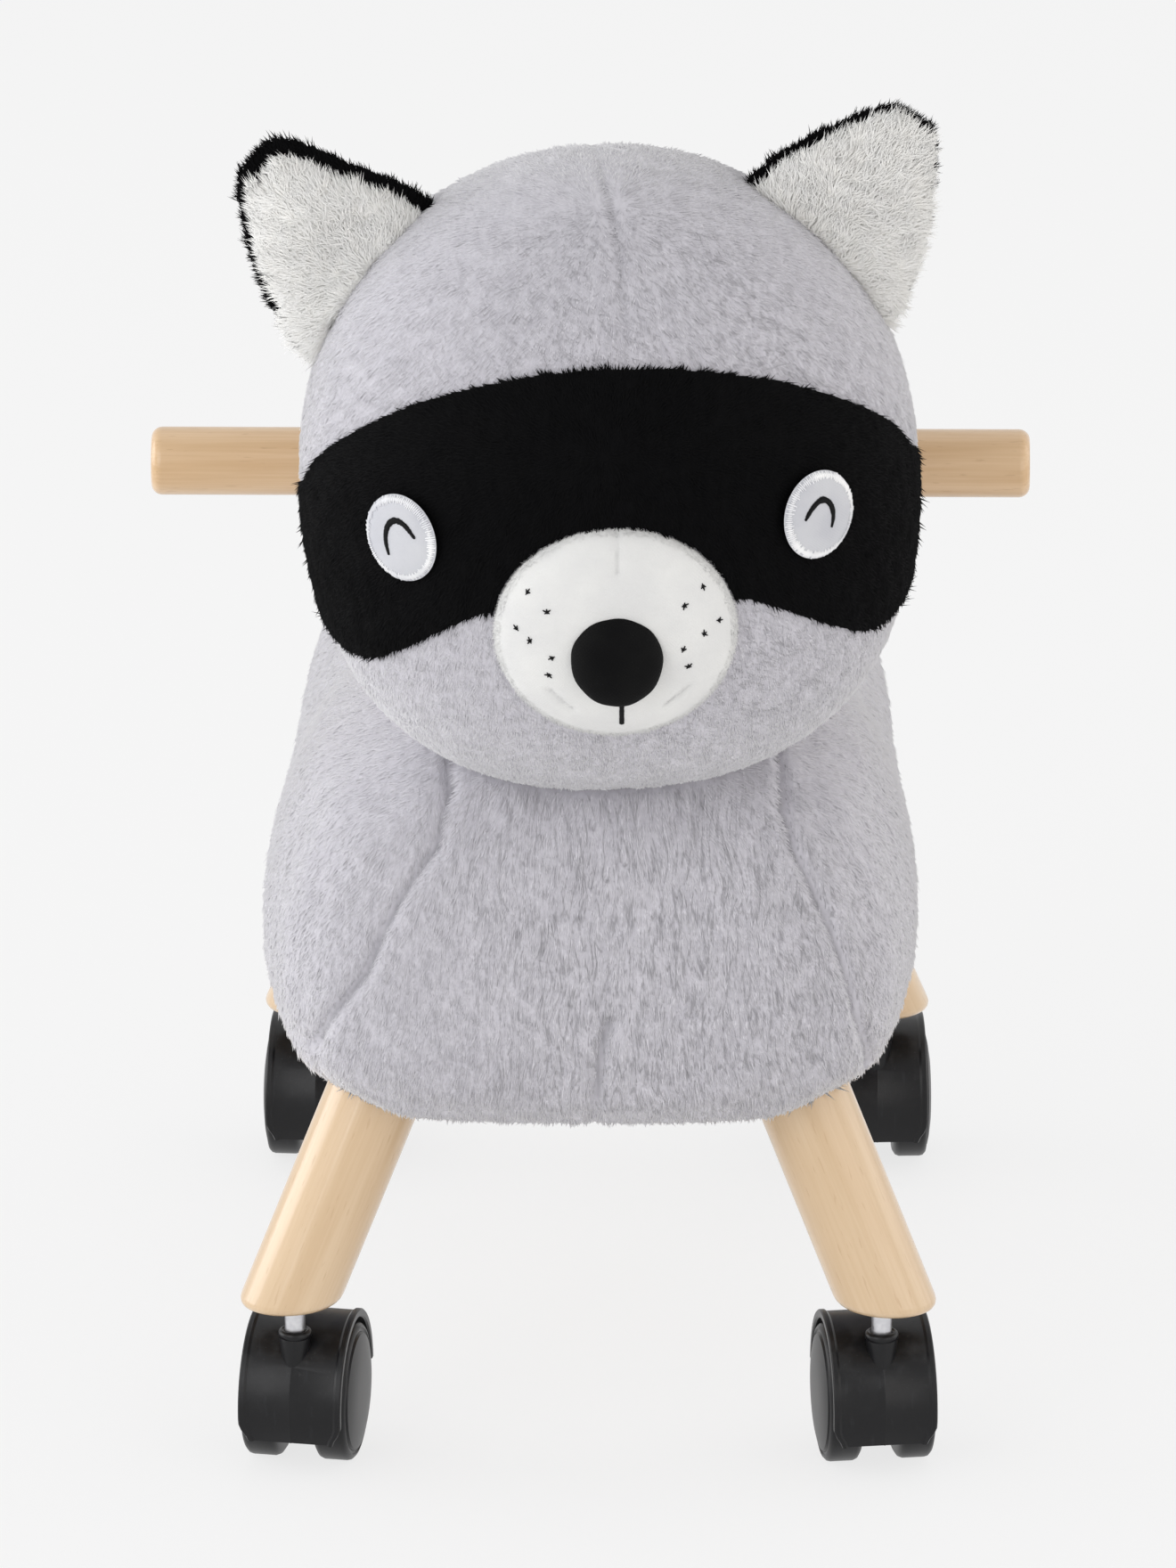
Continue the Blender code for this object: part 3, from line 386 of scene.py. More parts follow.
class HandlingAndSheen(Effect):
    """What use leaves on a hard surface, dust on top and fine scuffs, with a painted sheen that
    makes the upward faces paler.
    """

    name = "handling and painted sheen"
    inputs = {"Dust": 1.0}
    outputs = ("Dust", "Scuffs", "Height")

    @staticmethod
    def wire(desk: NodeDesk, given: Sequence[Socket]) -> tuple[Socket, ...]:
        """Return the mask of the dust and painted sheen on upward faces, that of the scuffs,
        and the height.
        """
        place = desk.place()
        upward = desk.ramp(desk.facing(2), -0.2, 0.9)
        clouds = desk.ramp(desk.noise(place, 120.0, 4.0), 0.42, 0.72)
        specks = desk.ramp(desk.noise(place, 900.0, 1.0), 0.68, 0.76)
        # Dust and a painted sheen: the upward faces are made paler, as if lit from above.
        dust = desk.times(upward, desk.plus(clouds, specks), given["Dust"])
        scuffs = desk.noise(desk.stretch(place, (420.0, 60.0, 90.0)), 1.0, 2.0)
        return dust, desk.ramp(scuffs, 0.60, 0.78), desk.noise(place, 2600.0, 1.0)


@dataclass(frozen=True)
class Finish:
    """A surface with one Principled shader.

    Attributes:
        name: The material's name.
        slot: The record's material slot; not used.
        colour: The main colour.
        shade: The second colour: the nap's or weave's darker tone, which also paints shade at a
            pile's roots and, dimmed, along the seams; on wood, plastic, steel and filling the
            other tone of its grain, scuffs, wear or cells.
        roughness: How matt it is.
    """

    name: str
    slot: str
    colour: Colour
    shade: Colour
    roughness: float

    def material(self) -> bpy.types.Material:
        """Return the finish's material, made on first use."""
        found = bpy.data.materials.get(self.name)
        if found:
            return found
        made = bpy.data.materials.new(self.name)
        made.use_nodes = True
        desk = NodeDesk(made.node_tree)
        shader = made.node_tree.nodes["Principled BSDF"]
        desk.feed(shader, {"Base Color": self.colour, "Roughness": self.roughness})
        self.wire(desk, shader)
        return made

    def wire(self, desk: NodeDesk, shader: bpy.types.Node) -> None:
        """Add the finish's own pattern to its shader."""

    def dress(self, piece: Piece) -> None:
        """Give a piece this finish."""
        piece.data.materials.clear()
        piece.data.materials.append(self.material())

    def dress_node(self, name: str) -> None:
        """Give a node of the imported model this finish."""
        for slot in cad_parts[name].material_slots:
            slot.material = self.material()


@dataclass(frozen=True)
class Plush(Finish):
    """Cloth with a pile.

    Attributes:
        sheen: How much light the pile's tips catch.
        fineness: Strands in each metre across the nap.
        run: Strand ends in each metre along the nap.
        relief: How strong the nap's relief is.
        gloss: How much it mirrors.
    """

    sheen: float = 0.25
    fineness: float = 620.0
    run: float = 150.0
    relief: float = 0.5
    gloss: float = 0.2

    def wire(self, desk: NodeDesk, shader: bpy.types.Node) -> None:
        """Add the brushed nap with painted shade: dark at the tufts' roots, on the cloth
        between them and at the seams, light at their tips.
        """
        nap = Nap.laid(desk, {"Fineness": self.fineness, "Run": self.run})
        # Painted shade: the roots and the cloth between the tufts take the darker shade, the
        # tips the paler colour.
        share = desk.blend_values(0.62, nap["Tone"], desk.fact("tip"))
        tone = desk.blend(share, self.shade, self.colour)
        # Painted shade along the seams.
        seam_shade = desk.times(desk.fact("seam"), 0.75)
        desk.feed(shader, {
            "Base Color": desk.blend(seam_shade, tone, dimmed(self.shade, 0.55)),
            "Sheen Weight": self.sheen,
            "Sheen Roughness": 0.45,
            "Specular IOR Level": self.gloss,
            "Normal": desk.bump(nap["Height"], self.relief, 0.0011),
        })


@dataclass(frozen=True)
class PartedPlush(Plush):
    """Plush whose brushed pile parts in fine lines on its front, with painted shade in the
    creases and painted highlights on the streaks between them.

    Attributes:
        across: Lines in each metre across.
        along: Line ends in each metre along.
        turn: How far the lines tip from upright.
        strength: How strong the painted shade and highlights and their bump show.
        spread: Between which places along X they grow to that, in metres.
    """

    across: float = 210.0
    along: float = 48.0
    turn: float = 0.0
    strength: float = 1.0
    spread: tuple[float, float] = (-0.1, 0.0)

    def wire(self, desk: NodeDesk, shader: bpy.types.Node) -> None:
        """Add the nap, then painted shade in the creases and painted highlights on the streaks
        between them, with their bump.
        """
        super().wire(desk, shader)
        ground = shader.inputs["Base Color"].links[0].from_socket
        lines = Partings.laid(desk, {
            "Across": self.across, "Along": self.along, "Turn": self.turn,
        })
        crease_shade, streak_highlight = lines["Crease"], lines["Streak"]
        sideways = desk.parts(desk.place())[0]
        share = desk.ramp(sideways, *self.spread, 0.4 * self.strength, self.strength)
        share = desk.times(share, desk.ramp(desk.facing(1), -0.75, -0.35, 1.0, 0.0))
        # Painted highlight on the streaks and painted shade in the creases.
        light = desk.blend(desk.times(streak_highlight, share, 0.5), ground, dimmed(self.colour, 1.25))
        dark = desk.times(crease_shade, share, 0.62)
        desk.feed(shader, {"Base Color": desk.blend(dark, light, dimmed(self.shade, 0.5))})
        raised = shader.inputs["Normal"].links[0].from_node
        height = raised.inputs["Height"].links[0].from_socket
        ridge = desk.times(desk.maths("SUBTRACT", streak_highlight, crease_shade), share)
        desk.feed(raised, {"Height": desk.plus(height, ridge)})


@dataclass(frozen=True)
class RingedPlush(Plush):
    """Plush with dark rings round a tail that runs along Y.

    Attributes:
        rings: Where each ring starts and ends along Y, in metres.
        ring_colour: The rings' colour.
        blur: Half the width of a ring's edge.
    """

    rings: tuple[tuple[float, float], ...] = ()
    ring_colour: Colour = (0.01, 0.01, 0.01)
    blur: float = 0.0006

    def wire(self, desk: NodeDesk, shader: bpy.types.Node) -> None:
        """Add the nap, then the rings with a furry edge."""
        super().wire(desk, shader)
        ground = shader.inputs["Base Color"].links[0].from_socket
        place = desk.place()
        ragged = desk.maths("SUBTRACT", desk.times(desk.noise(place, 420.0, 1.0), 0.004), 0.002)
        along = desk.plus(desk.parts(place)[1], ragged)
        mask = 0.0
        for ring in self.rings:
            begun, over = (desk.ramp(along, y - self.blur, y + self.blur) for y in ring)
            mask = desk.plus(mask, desk.maths("SUBTRACT", begun, over))
        desk.feed(shader, {"Base Color": desk.blend(mask, ground, self.ring_colour)})


@dataclass(frozen=True)
class Cloth(Finish):
    """Flat cloth, such as velour or satin, or sewing thread.

    Attributes:
        weave: Threads in each metre.
        relief: How strong the weave shows.
        sheen: How much its surface catches the light.
        gloss: How much it mirrors.
    """

    weave: float = 1500.0
    relief: float = 0.25
    sheen: float = 0.1
    gloss: float = 0.25

    def wire(self, desk: NodeDesk, shader: bpy.types.Node) -> None:
        """Add a fine weave with soft patches, and painted shade that darkens the seams and
        grooves.
        """
        place = desk.place()
        across, _, up = desk.parts(place)
        threads = (
            desk.maths("SINE", desk.times(part, self.weave * math.pi)) for part in (across, up)
        )
        weave = desk.times(*threads, 0.25)
        height = desk.plus(weave, desk.noise(place, self.weave * 0.8, 2.0))
        patches = desk.ramp(desk.noise(place, 55.0, 3.0), 0.3, 0.7)
        tone = desk.blend(patches, self.shade, self.colour)
        # Painted shade in the seams and grooves that are sunk into the cloth.
        seam = desk.times(desk.fact("seam"), 0.6)
        desk.feed(shader, {
            "Base Color": desk.blend(seam, tone, dimmed(self.shade, 0.6)),
            "Sheen Weight": self.sheen,
            "Specular IOR Level": self.gloss,
            "Normal": desk.bump(height, self.relief, 0.0003),
        })


@dataclass(frozen=True)
class Wood(Finish):
    """Lacquered hardwood or plywood.

    Attributes:
        turn: The angles that lay the grain's Z along the piece.
        fleck: The colour of the short dark flecks.
        coat: How much lacquer is on it.
    """

    turn: tuple[float, float, float] = (0.0, 0.0, 0.0)
    fleck: Colour = (0.3, 0.2, 0.1)
    coat: float = 0.3

    def wire(self, desk: NodeDesk, shader: bpy.types.Node) -> None:
        """Add the grain, its flecks and the lacquer."""
        turned = desk.add("Mapping", {"Vector": desk.place(), "Rotation": self.turn}).outputs[0]
        grain = Grain.laid(desk, {"Place": turned})
        tone = desk.blend(grain["Tone"], self.shade, self.colour)
        rough = (self.roughness + 0.08, self.roughness)
        desk.feed(shader, {
            "Base Color": desk.blend(desk.times(grain["Flecks"], 0.25), tone, self.fleck),
            "Roughness": desk.ramp(grain["Tone"], 0.0, 1.0, *rough),
            "Coat Weight": self.coat,
            "Coat Roughness": 0.15,
            "Normal": desk.bump(grain["Height"], 0.06, 0.0002),
        })


@dataclass(frozen=True)
class Moulded(Finish):
    """Moulded plastic that has been handled, with a painted sheen on its upward faces.

    Attributes:
        dust: How much dust, with a painted sheen, pales its upward faces.
        relief: How strong its moulded texture is.
    """

    dust: float = 1.0
    relief: float = 0.15

    def wire(self, desk: NodeDesk, shader: bpy.types.Node) -> None:
        """Add dust and a painted sheen on top, scuffs and the mould's fine texture."""
        use = HandlingAndSheen.laid(desk, {"Dust": self.dust})
        scuffed = desk.blend(desk.times(use["Scuffs"], 0.5), self.colour, self.shade)
        # Dust and painted sheen pale the upward faces.
        cover = desk.times(use["Dust"], 0.45)
        rough = (self.roughness, self.roughness + 0.25)
        desk.feed(shader, {
            "Base Color": desk.blend(cover, scuffed, dimmed(self.shade, 0.55, 0.045)),
            "Roughness": desk.ramp(use["Dust"], 0.0, 1.0, *rough),
            "Specular IOR Level": 0.28,
            "Normal": desk.bump(use["Height"], self.relief, 0.0002),
        })


@dataclass(frozen=True)
class Steel(Finish):
    """Plated steel with fine turning marks."""

    def wire(self, desk: NodeDesk, shader: bpy.types.Node) -> None:
        """Add the turning marks and a little wear."""
        place = desk.place()
        marks = desk.noise(desk.stretch(place, (60.0, 60.0, 2600.0)), 1.0, 1.0)
        wear = desk.ramp(desk.noise(place, 300.0, 3.0), 0.35, 0.75)
        rough = (self.roughness, self.roughness + 0.15)
        desk.feed(shader, {
            "Base Color": desk.blend(wear, self.shade, self.colour),
            "Roughness": desk.ramp(marks, 0.3, 0.7, *rough),
            "Metallic": 1.0,
            "Normal": desk.bump(marks, 0.1, 0.0001),
        })


@dataclass(frozen=True)
class Filling(Finish):
    """Loose fibre or foam.

    Attributes:
        grain: Cells or fibre tufts in each metre.
    """

    grain: float = 260.0

    def wire(self, desk: NodeDesk, shader: bpy.types.Node) -> None:
        """Add the cells or tufts."""
        cells = desk.noise(desk.place(), self.grain, 5.0)
        desk.feed(shader, {
            "Base Color": desk.blend(desk.ramp(cells, 0.3, 0.7), self.shade, self.colour),
            "Normal": desk.bump(cells, 0.6, 0.0015),
        })


GREY_PLUSH = Plush(
    "grey plush", "grey_plush", linear(221, 219, 225), linear(184, 182, 189), 0.92,
    sheen=0.9, relief=0.4,
)
CHEST_PLUSH = PartedPlush(
    "chest plush", "grey_plush", GREY_PLUSH.colour, GREY_PLUSH.shade, 0.92,
    sheen=0.9, relief=0.4, across=390.0, along=52.0, strength=0.85, spread=(-0.08, 0.01),
)
FACE_PLUSH = PartedPlush(
    "face plush", "grey_plush", GREY_PLUSH.colour, GREY_PLUSH.shade, 0.92,
    sheen=0.9, relief=0.4, across=330.0, along=110.0, turn=0.7, strength=0.7,
    spread=(-0.05, 0.01),
)
BLACK_PLUSH = Plush(
    "black plush", "black_plush", linear(17, 17, 18), linear(7, 7, 8), 0.95,
    sheen=0.01, relief=0.4, gloss=0.07,
)
WHITE_FUR = Plush(
    "white fur", "white_fur", linear(254, 254, 252), linear(250, 248, 242), 0.92,
    sheen=1.0, fineness=420.0, run=110.0, relief=0.3,
)
WHITE_VELOUR = Cloth(
    "white velour", "white_velour", linear(222, 222, 220), linear(215, 215, 214), 0.9,
    weave=1700.0, relief=0.35, sheen=0.1,
)
NOSE_CLOTH = Cloth(
    "nose cloth", "nose_fabric", linear(17, 17, 17), linear(10, 10, 11), 0.9,
    weave=1500.0, relief=0.5, sheen=0.01, gloss=0.1,
)
EYE_SATIN = Cloth(
    "eye satin", "eye_satin", linear(199, 200, 204), linear(188, 189, 195), 0.5,
    weave=1800.0, relief=0.3, sheen=0.05,
)
SILVER_THREAD = Cloth(
    "silver thread", "eye_satin", linear(252, 252, 252), linear(214, 215, 220), 0.35,
    weave=2600.0, relief=0.3, sheen=0.3,
)
BLACK_THREAD = Cloth(
    "black thread", "nose_fabric", linear(18, 18, 19), linear(12, 12, 13), 0.6,
    weave=2600.0, relief=0.3, sheen=0.01, gloss=0.12,
)
PLYWOOD = Wood(
    "plywood", "plywood", linear(205, 172, 128), linear(178, 142, 98), 0.55,
    turn=(QUARTER, 0.0, 0.0), fleck=linear(140, 100, 62), coat=0.1,
)
BEECH_BLANK = Wood(
    "planed beech", "beech", linear(222, 194, 156), linear(196, 162, 120), 0.5,
    turn=(QUARTER, 0.0, 0.0), fleck=linear(150, 110, 72), coat=0.1,
)
# The dust share of both plastics also paints a sheen on their upward faces.
CASTOR_PLASTIC = Moulded(
    "castor plastic", "grey_plastic", linear(19, 19, 21), linear(36, 37, 40), 0.32, dust=0.55,
)
WHEEL_PLASTIC = Moulded(
    "wheel plastic", "tread_plastic", linear(21, 21, 23), linear(38, 38, 41), 0.36, dust=0.4,
)
PLATED_STEEL = Steel(
    "plated steel", "steel", linear(226, 226, 228), linear(206, 206, 210), 0.30,
)
FIBRE_FILL = Filling(
    "fibre filling", "stuffing", linear(240, 240, 238), linear(212, 212, 210), 1.0,
)
SEAT_FOAM = Filling(
    "seat foam", "foam", linear(232, 222, 190), linear(206, 192, 152), 0.95, grain=900.0,
)


def deselect() -> None:
    """Leave object mode with nothing selected."""
    if bpy.context.object and bpy.context.object.mode != "OBJECT":
        bpy.ops.object.mode_set(mode="OBJECT")
    bpy.ops.object.select_all(action="DESELECT")


def choose(piece: Piece) -> Piece:
    """Select one piece alone and make it active."""
    deselect()
    piece.select_set(True)
    bpy.context.view_layer.objects.active = piece
    return piece


@contextmanager
def editing(piece: Piece) -> Iterator[None]:
    """Hold a piece in edit mode with all of its mesh selected."""
    choose(piece)
    bpy.ops.object.mode_set(mode="EDIT")
    bpy.ops.mesh.select_all(action="SELECT")
    yield
    bpy.ops.object.mode_set(mode="OBJECT")


def named(name: str) -> Piece:
    """Name the primitive that was just added and settle its place in its mesh."""
    piece = bpy.context.active_object
    piece.name = piece.data.name = name
    bpy.ops.object.transform_apply(location=True, rotation=True, scale=True)
    return piece


def ball(name: str, segments: int, rings: int, tip: float = QUARTER) -> Piece:
    """Return a ball of radius one.

    Args:
        name: The object's name.
        segments: Its faces round.
        rings: Its faces from pole to pole.
        tip: How far its poles are tipped from Z towards Y.

    Returns:
        The new object.
    """
    deselect()
    bpy.ops.mesh.primitive_uv_sphere_add(
        segments=segments, ring_count=rings, radius=1, rotation=(tip, 0, 0),
    )
    return named(name)


def cylinder(name: str, radius: float, depth: float, place: Sequence[float] = (0, 0, 0),
             turn: Sequence[float] = (0, 0, 0), sides: int = 64) -> Piece:
    """Return a cylinder.

    Args:
        name: The object's name.
        radius: Its radius.
        depth: Its length.
        place: Its middle.
        turn: The angles that turn it from Z.
        sides: Its faces round.

    Returns:
        The new object.
    """
    deselect()
    bpy.ops.mesh.primitive_cylinder_add(
        vertices=sides, radius=radius, depth=depth, location=place, rotation=turn,
    )
    return named(name)


def shaped(name: str, places: Sequence, edges: Sequence = (), faces: Sequence = ()) -> Piece:
    """Return a new piece with the vertices, edges and faces given."""
    mesh = bpy.data.meshes.new(name)
    mesh.from_pydata(places, edges, faces)
    piece = bpy.data.objects.new(name, mesh)
    bpy.context.scene.collection.objects.link(piece)
    return piece


def prism(name: str, outline: Sequence, way: Sequence[float]) -> Piece:
    """Return a flat outline pushed out into a closed piece.

    Args:
        name: The object's name.
        outline: The outline's places.
        way: How far it is pushed out.

    Returns:
        The new object.
    """
    piece = shaped(name, outline, faces=[list(range(len(outline)))])
    with editing(piece):
        bpy.ops.mesh.extrude_region_move(TRANSFORM_OT_translate={"value": way})
        bpy.ops.mesh.select_all(action="SELECT")
        bpy.ops.mesh.normals_make_consistent(inside=False)
    return piece


def modify(piece: Piece, kind: str, **settings: object) -> Piece:
    """Add a modifier to a piece and apply it.

    Args:
        piece: The piece.
        kind: The modifier's type.
        **settings: Its settings.

    Returns:
        The same piece.
    """
    step = piece.modifiers.new(kind, kind)
    for name, value in settings.items():
        setattr(step, name, value)
    choose(piece)
    bpy.ops.object.modifier_apply(modifier=step.name)
    return piece


def transform(piece: Piece, matrix: Matrix) -> Piece:
    """Move a piece's mesh, so that its object stays at the origin."""
    piece.data.transform(matrix)
    piece.data.update()
    return piece


def duplicate(piece: Piece, name: str) -> Piece:
    """Return a copy of a piece with its own mesh."""
    copy = bpy.data.objects.new(name, piece.data.copy())
    copy.data.name = name
    bpy.context.scene.collection.objects.link(copy)
    return copy


def discard(piece: Piece) -> None:
    """Remove a piece and its mesh."""
    mesh = piece.data
    bpy.data.objects.remove(piece, do_unlink=True)
    bpy.data.meshes.remove(mesh)


def joined(pieces: Sequence[Piece], name: str) -> Piece:
    """Join pieces into one object.

    Args:
        pieces: The pieces, which are used up.
        name: The name of the result.

    Returns:
        The joined piece.
    """
    whole = choose(pieces[0])
    for piece in pieces:
        piece.select_set(True)
    if len(pieces) > 1:
        bpy.ops.object.join()
    whole.name = whole.data.name = name
    return whole


def vectors_of(piece: Piece, fact: str) -> Points:
    """Return one vector of each of a mesh's vertices, by its name."""
    flat = np.empty(len(piece.data.vertices) * 3, np.float32)
    piece.data.vertices.foreach_get(fact, flat)
    return flat.reshape(-1, 3).astype(float)


def points_of(piece: Piece) -> Points:
    """Return a mesh's vertices as an array of places."""
    return vectors_of(piece, "co")


def normals_of(piece: Piece) -> Points:
    """Return a mesh's vertex normals."""
    return vectors_of(piece, "normal")


def set_points(piece: Piece, places: Points) -> None:
    """Move a mesh's vertices to the places given."""
    piece.data.vertices.foreach_set("co", places.astype(np.float32).ravel())
    piece.data.update()


def mark(piece: Piece, name: str, values: Points) -> None:
    """Let a mesh carry a value for each vertex."""
    fact = piece.data.attributes.new(name, "FLOAT", "POINT")
    fact.data.foreach_set("value", values.astype(np.float32).ravel())


def unit(vectors: Points) -> Points:
    """Return vectors of length one."""
    return vectors / np.maximum(np.linalg.norm(vectors, axis=-1, keepdims=True), 1e-12)


def moved(places: Points, matrix: Matrix) -> Points:
    """Return places moved by a matrix."""
    parts = np.array(matrix)
    return places @ parts[:3, :3].T + parts[:3, 3]


def bell(values: Points, width: float) -> Points:
    """Return 1 where a value is 0, and less the further it is from that."""
    return np.exp(-(values / width) ** 2)


def ease(values: Points, low: float, high: float) -> Points:
    """Return values eased from 0 at low to 1 at high."""
    share = np.clip((values - low) / (high - low), 0, 1)
    return share * share * (3 - 2 * share)


def waves(places: Points, length: float, seed: int) -> Points:
    """Return smooth random values between about -1 and 1.

    Args:
        places: Where they are read.
        length: The usual distance between two crests, in metres.
        seed: Which of the endless patterns it is.

    Returns:
        One value for each place.
    """
    draw = np.random.default_rng(seed)
    total = np.zeros(len(places))
    for _ in range(6):
        way = unit(draw.normal(size=3))
        crest = length * draw.uniform(0.7, 1.4)
        total += np.sin(places @ way * math.tau / crest + draw.uniform(0, math.tau))
    return total / 2.6


def cut(piece: Piece, tool: Piece, operation: str = "DIFFERENCE") -> None:
    """Cut a piece by a tool, which is used up."""
    modify(piece, "BOOLEAN", operation=operation, solver="EXACT", object=tool)
    discard(tool)


def relax(piece: Piece, times: int) -> Piece:
    """Soften a piece's surface."""
    return modify(piece, "SMOOTH", factor=0.5, iterations=times)


def remeshed(piece: Piece, voxel: float, softening: int) -> Piece:
    """Rebuild a closed piece in even faces of a size and soften it."""
    choose(piece)
    piece.data.remesh_voxel_size = voxel
    piece.data.remesh_voxel_adaptivity = 0.0
    bpy.ops.object.voxel_remesh()
    return relax(piece, softening)


def halved(piece: Piece) -> Piece:
    """Halve a piece's faces smoothly."""
    return modify(piece, "SUBSURF", levels=1, render_levels=1)


def smooth(piece: Piece, angle: float = 180.0) -> Piece:
    """Shade a piece smooth, but for edges sharper than the angle in degrees."""
    choose(piece)
    if angle >= 180:
        bpy.ops.object.shade_smooth()
    else:
        bpy.ops.object.shade_smooth_by_angle(angle=math.radians(angle))
    return piece


def round_edges(piece: Piece, radius: float, segments: int,
                picked: Callable[[Vector, Vector], bool]) -> None:
    """Round some of a piece's edges.

    Args:
        piece: The piece.
        radius: The rounding.
        segments: Its faces across.
        picked: Says from an edge's ends whether it is one of them.
    """
    with editing(piece):
        bpy.ops.mesh.select_mode(type="EDGE")
        bpy.ops.mesh.select_all(action="DESELECT")
    for edge in piece.data.edges:
        edge.select = picked(*(piece.data.vertices[index].co for index in edge.vertices))
    bpy.ops.object.mode_set(mode="EDIT")
    bpy.ops.mesh.bevel(offset=radius, segments=segments, affect="EDGES")
    bpy.ops.object.mode_set(mode="OBJECT")


def settle(piece: Piece, finish: Finish, node: str | None = None, body: str = "toy") -> Piece:
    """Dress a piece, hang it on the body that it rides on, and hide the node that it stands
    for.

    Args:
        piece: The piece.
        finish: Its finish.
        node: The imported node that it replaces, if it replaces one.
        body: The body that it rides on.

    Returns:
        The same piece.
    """
    finish.dress(piece)
    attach(piece, body)
    if node:
        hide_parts(node)
    return piece


def seam_distance(places: Points, lines: Sequence[Points]) -> Points:
    """Return how far each place lies from the nearest seam.

    Args:
        places: The places.
        lines: Each seam as a row of points.

    Returns:
        The distances.
    """
    nearest = np.full(len(places), np.inf)
    for line in lines:
        for start, end in zip(line, line[1:]):
            way = end - start
            share = np.clip((places - start) @ way / max(way @ way, 1e-12), 0, 1)
            gap = np.linalg.norm(places - start - share[:, None] * way, axis=1)
            nearest = np.minimum(nearest, gap)
    return nearest


def sink_seams(piece: Piece, distance: Points, depth: float, width: float) -> None:
    """Pull a fabric piece in along its seams and mark them for the painted shade that its
    finish lays there.

    Args:
        piece: The piece.
        distance: Each vertex's distance from a seam.
        depth: How deep the seams lie.
        width: How wide the hollow beside them is.
    """
    hollow = depth * bell(distance, width)
    set_points(piece, points_of(piece) - normals_of(piece) * hollow[:, None])
    # The seam mark is where the finish paints shade.
    mark(piece, "seam", bell(distance, width * 0.42))


def puff(piece: Piece, held: Points, cap: float) -> None:
    """Blow a closed fabric piece up between its seams by a cloth simulation.

    Args:
        piece: The closed piece.
        held: True for each vertex that a seam holds.
        cap: The furthest that a vertex may move.
    """
    choose(piece)
    seams = piece.vertex_groups.new(name="seams")
    seams.add([int(index) for index in np.flatnonzero(held)], 1.0, "REPLACE")
    step = piece.modifiers.new("cloth", "CLOTH")
    cloth, last = step.settings, 20
    cloth.vertex_group_mass = "seams"
    cloth.use_pressure = True
    cloth.uniform_pressure_force = 4.0
    cloth.effector_weights.gravity = 0
    cloth.quality = 4
    step.point_cache.frame_start, step.point_cache.frame_end = 1, last
    rest = points_of(piece)
    scene = bpy.context.scene
    for number in range(1, last + 1):
        scene.frame_set(number)
    blown = piece.evaluated_get(bpy.context.evaluated_depsgraph_get())
    move = points_of(blown) - rest
    piece.modifiers.remove(step)
    scene.frame_set(1)
    length = np.linalg.norm(move, axis=1, keepdims=True)
    set_points(piece, rest + move * np.minimum(1, cap / np.maximum(length, 1e-9)))
    piece.vertex_groups.clear()


def surface_tree(piece: Piece) -> BVHTree:
    """Return a tree that finds where a ray meets a piece."""
    return BVHTree.FromPolygons(
        [vertex.co for vertex in piece.data.vertices],
        [face.vertices for face in piece.data.polygons],
    )


def cast(tree: BVHTree, starts: Sequence[Vector], way: Vector) -> Points:
    """Return where rays first meet a surface.

    Args:
        tree: The surface.
        starts: Where each ray starts.
        way: Where they all go.

    Returns:
        The places, without the rays that meet nothing.
    """
    hits = [tree.ray_cast(start, way)[0] for start in starts]
    return np.array([hit for hit in hits if hit is not None])


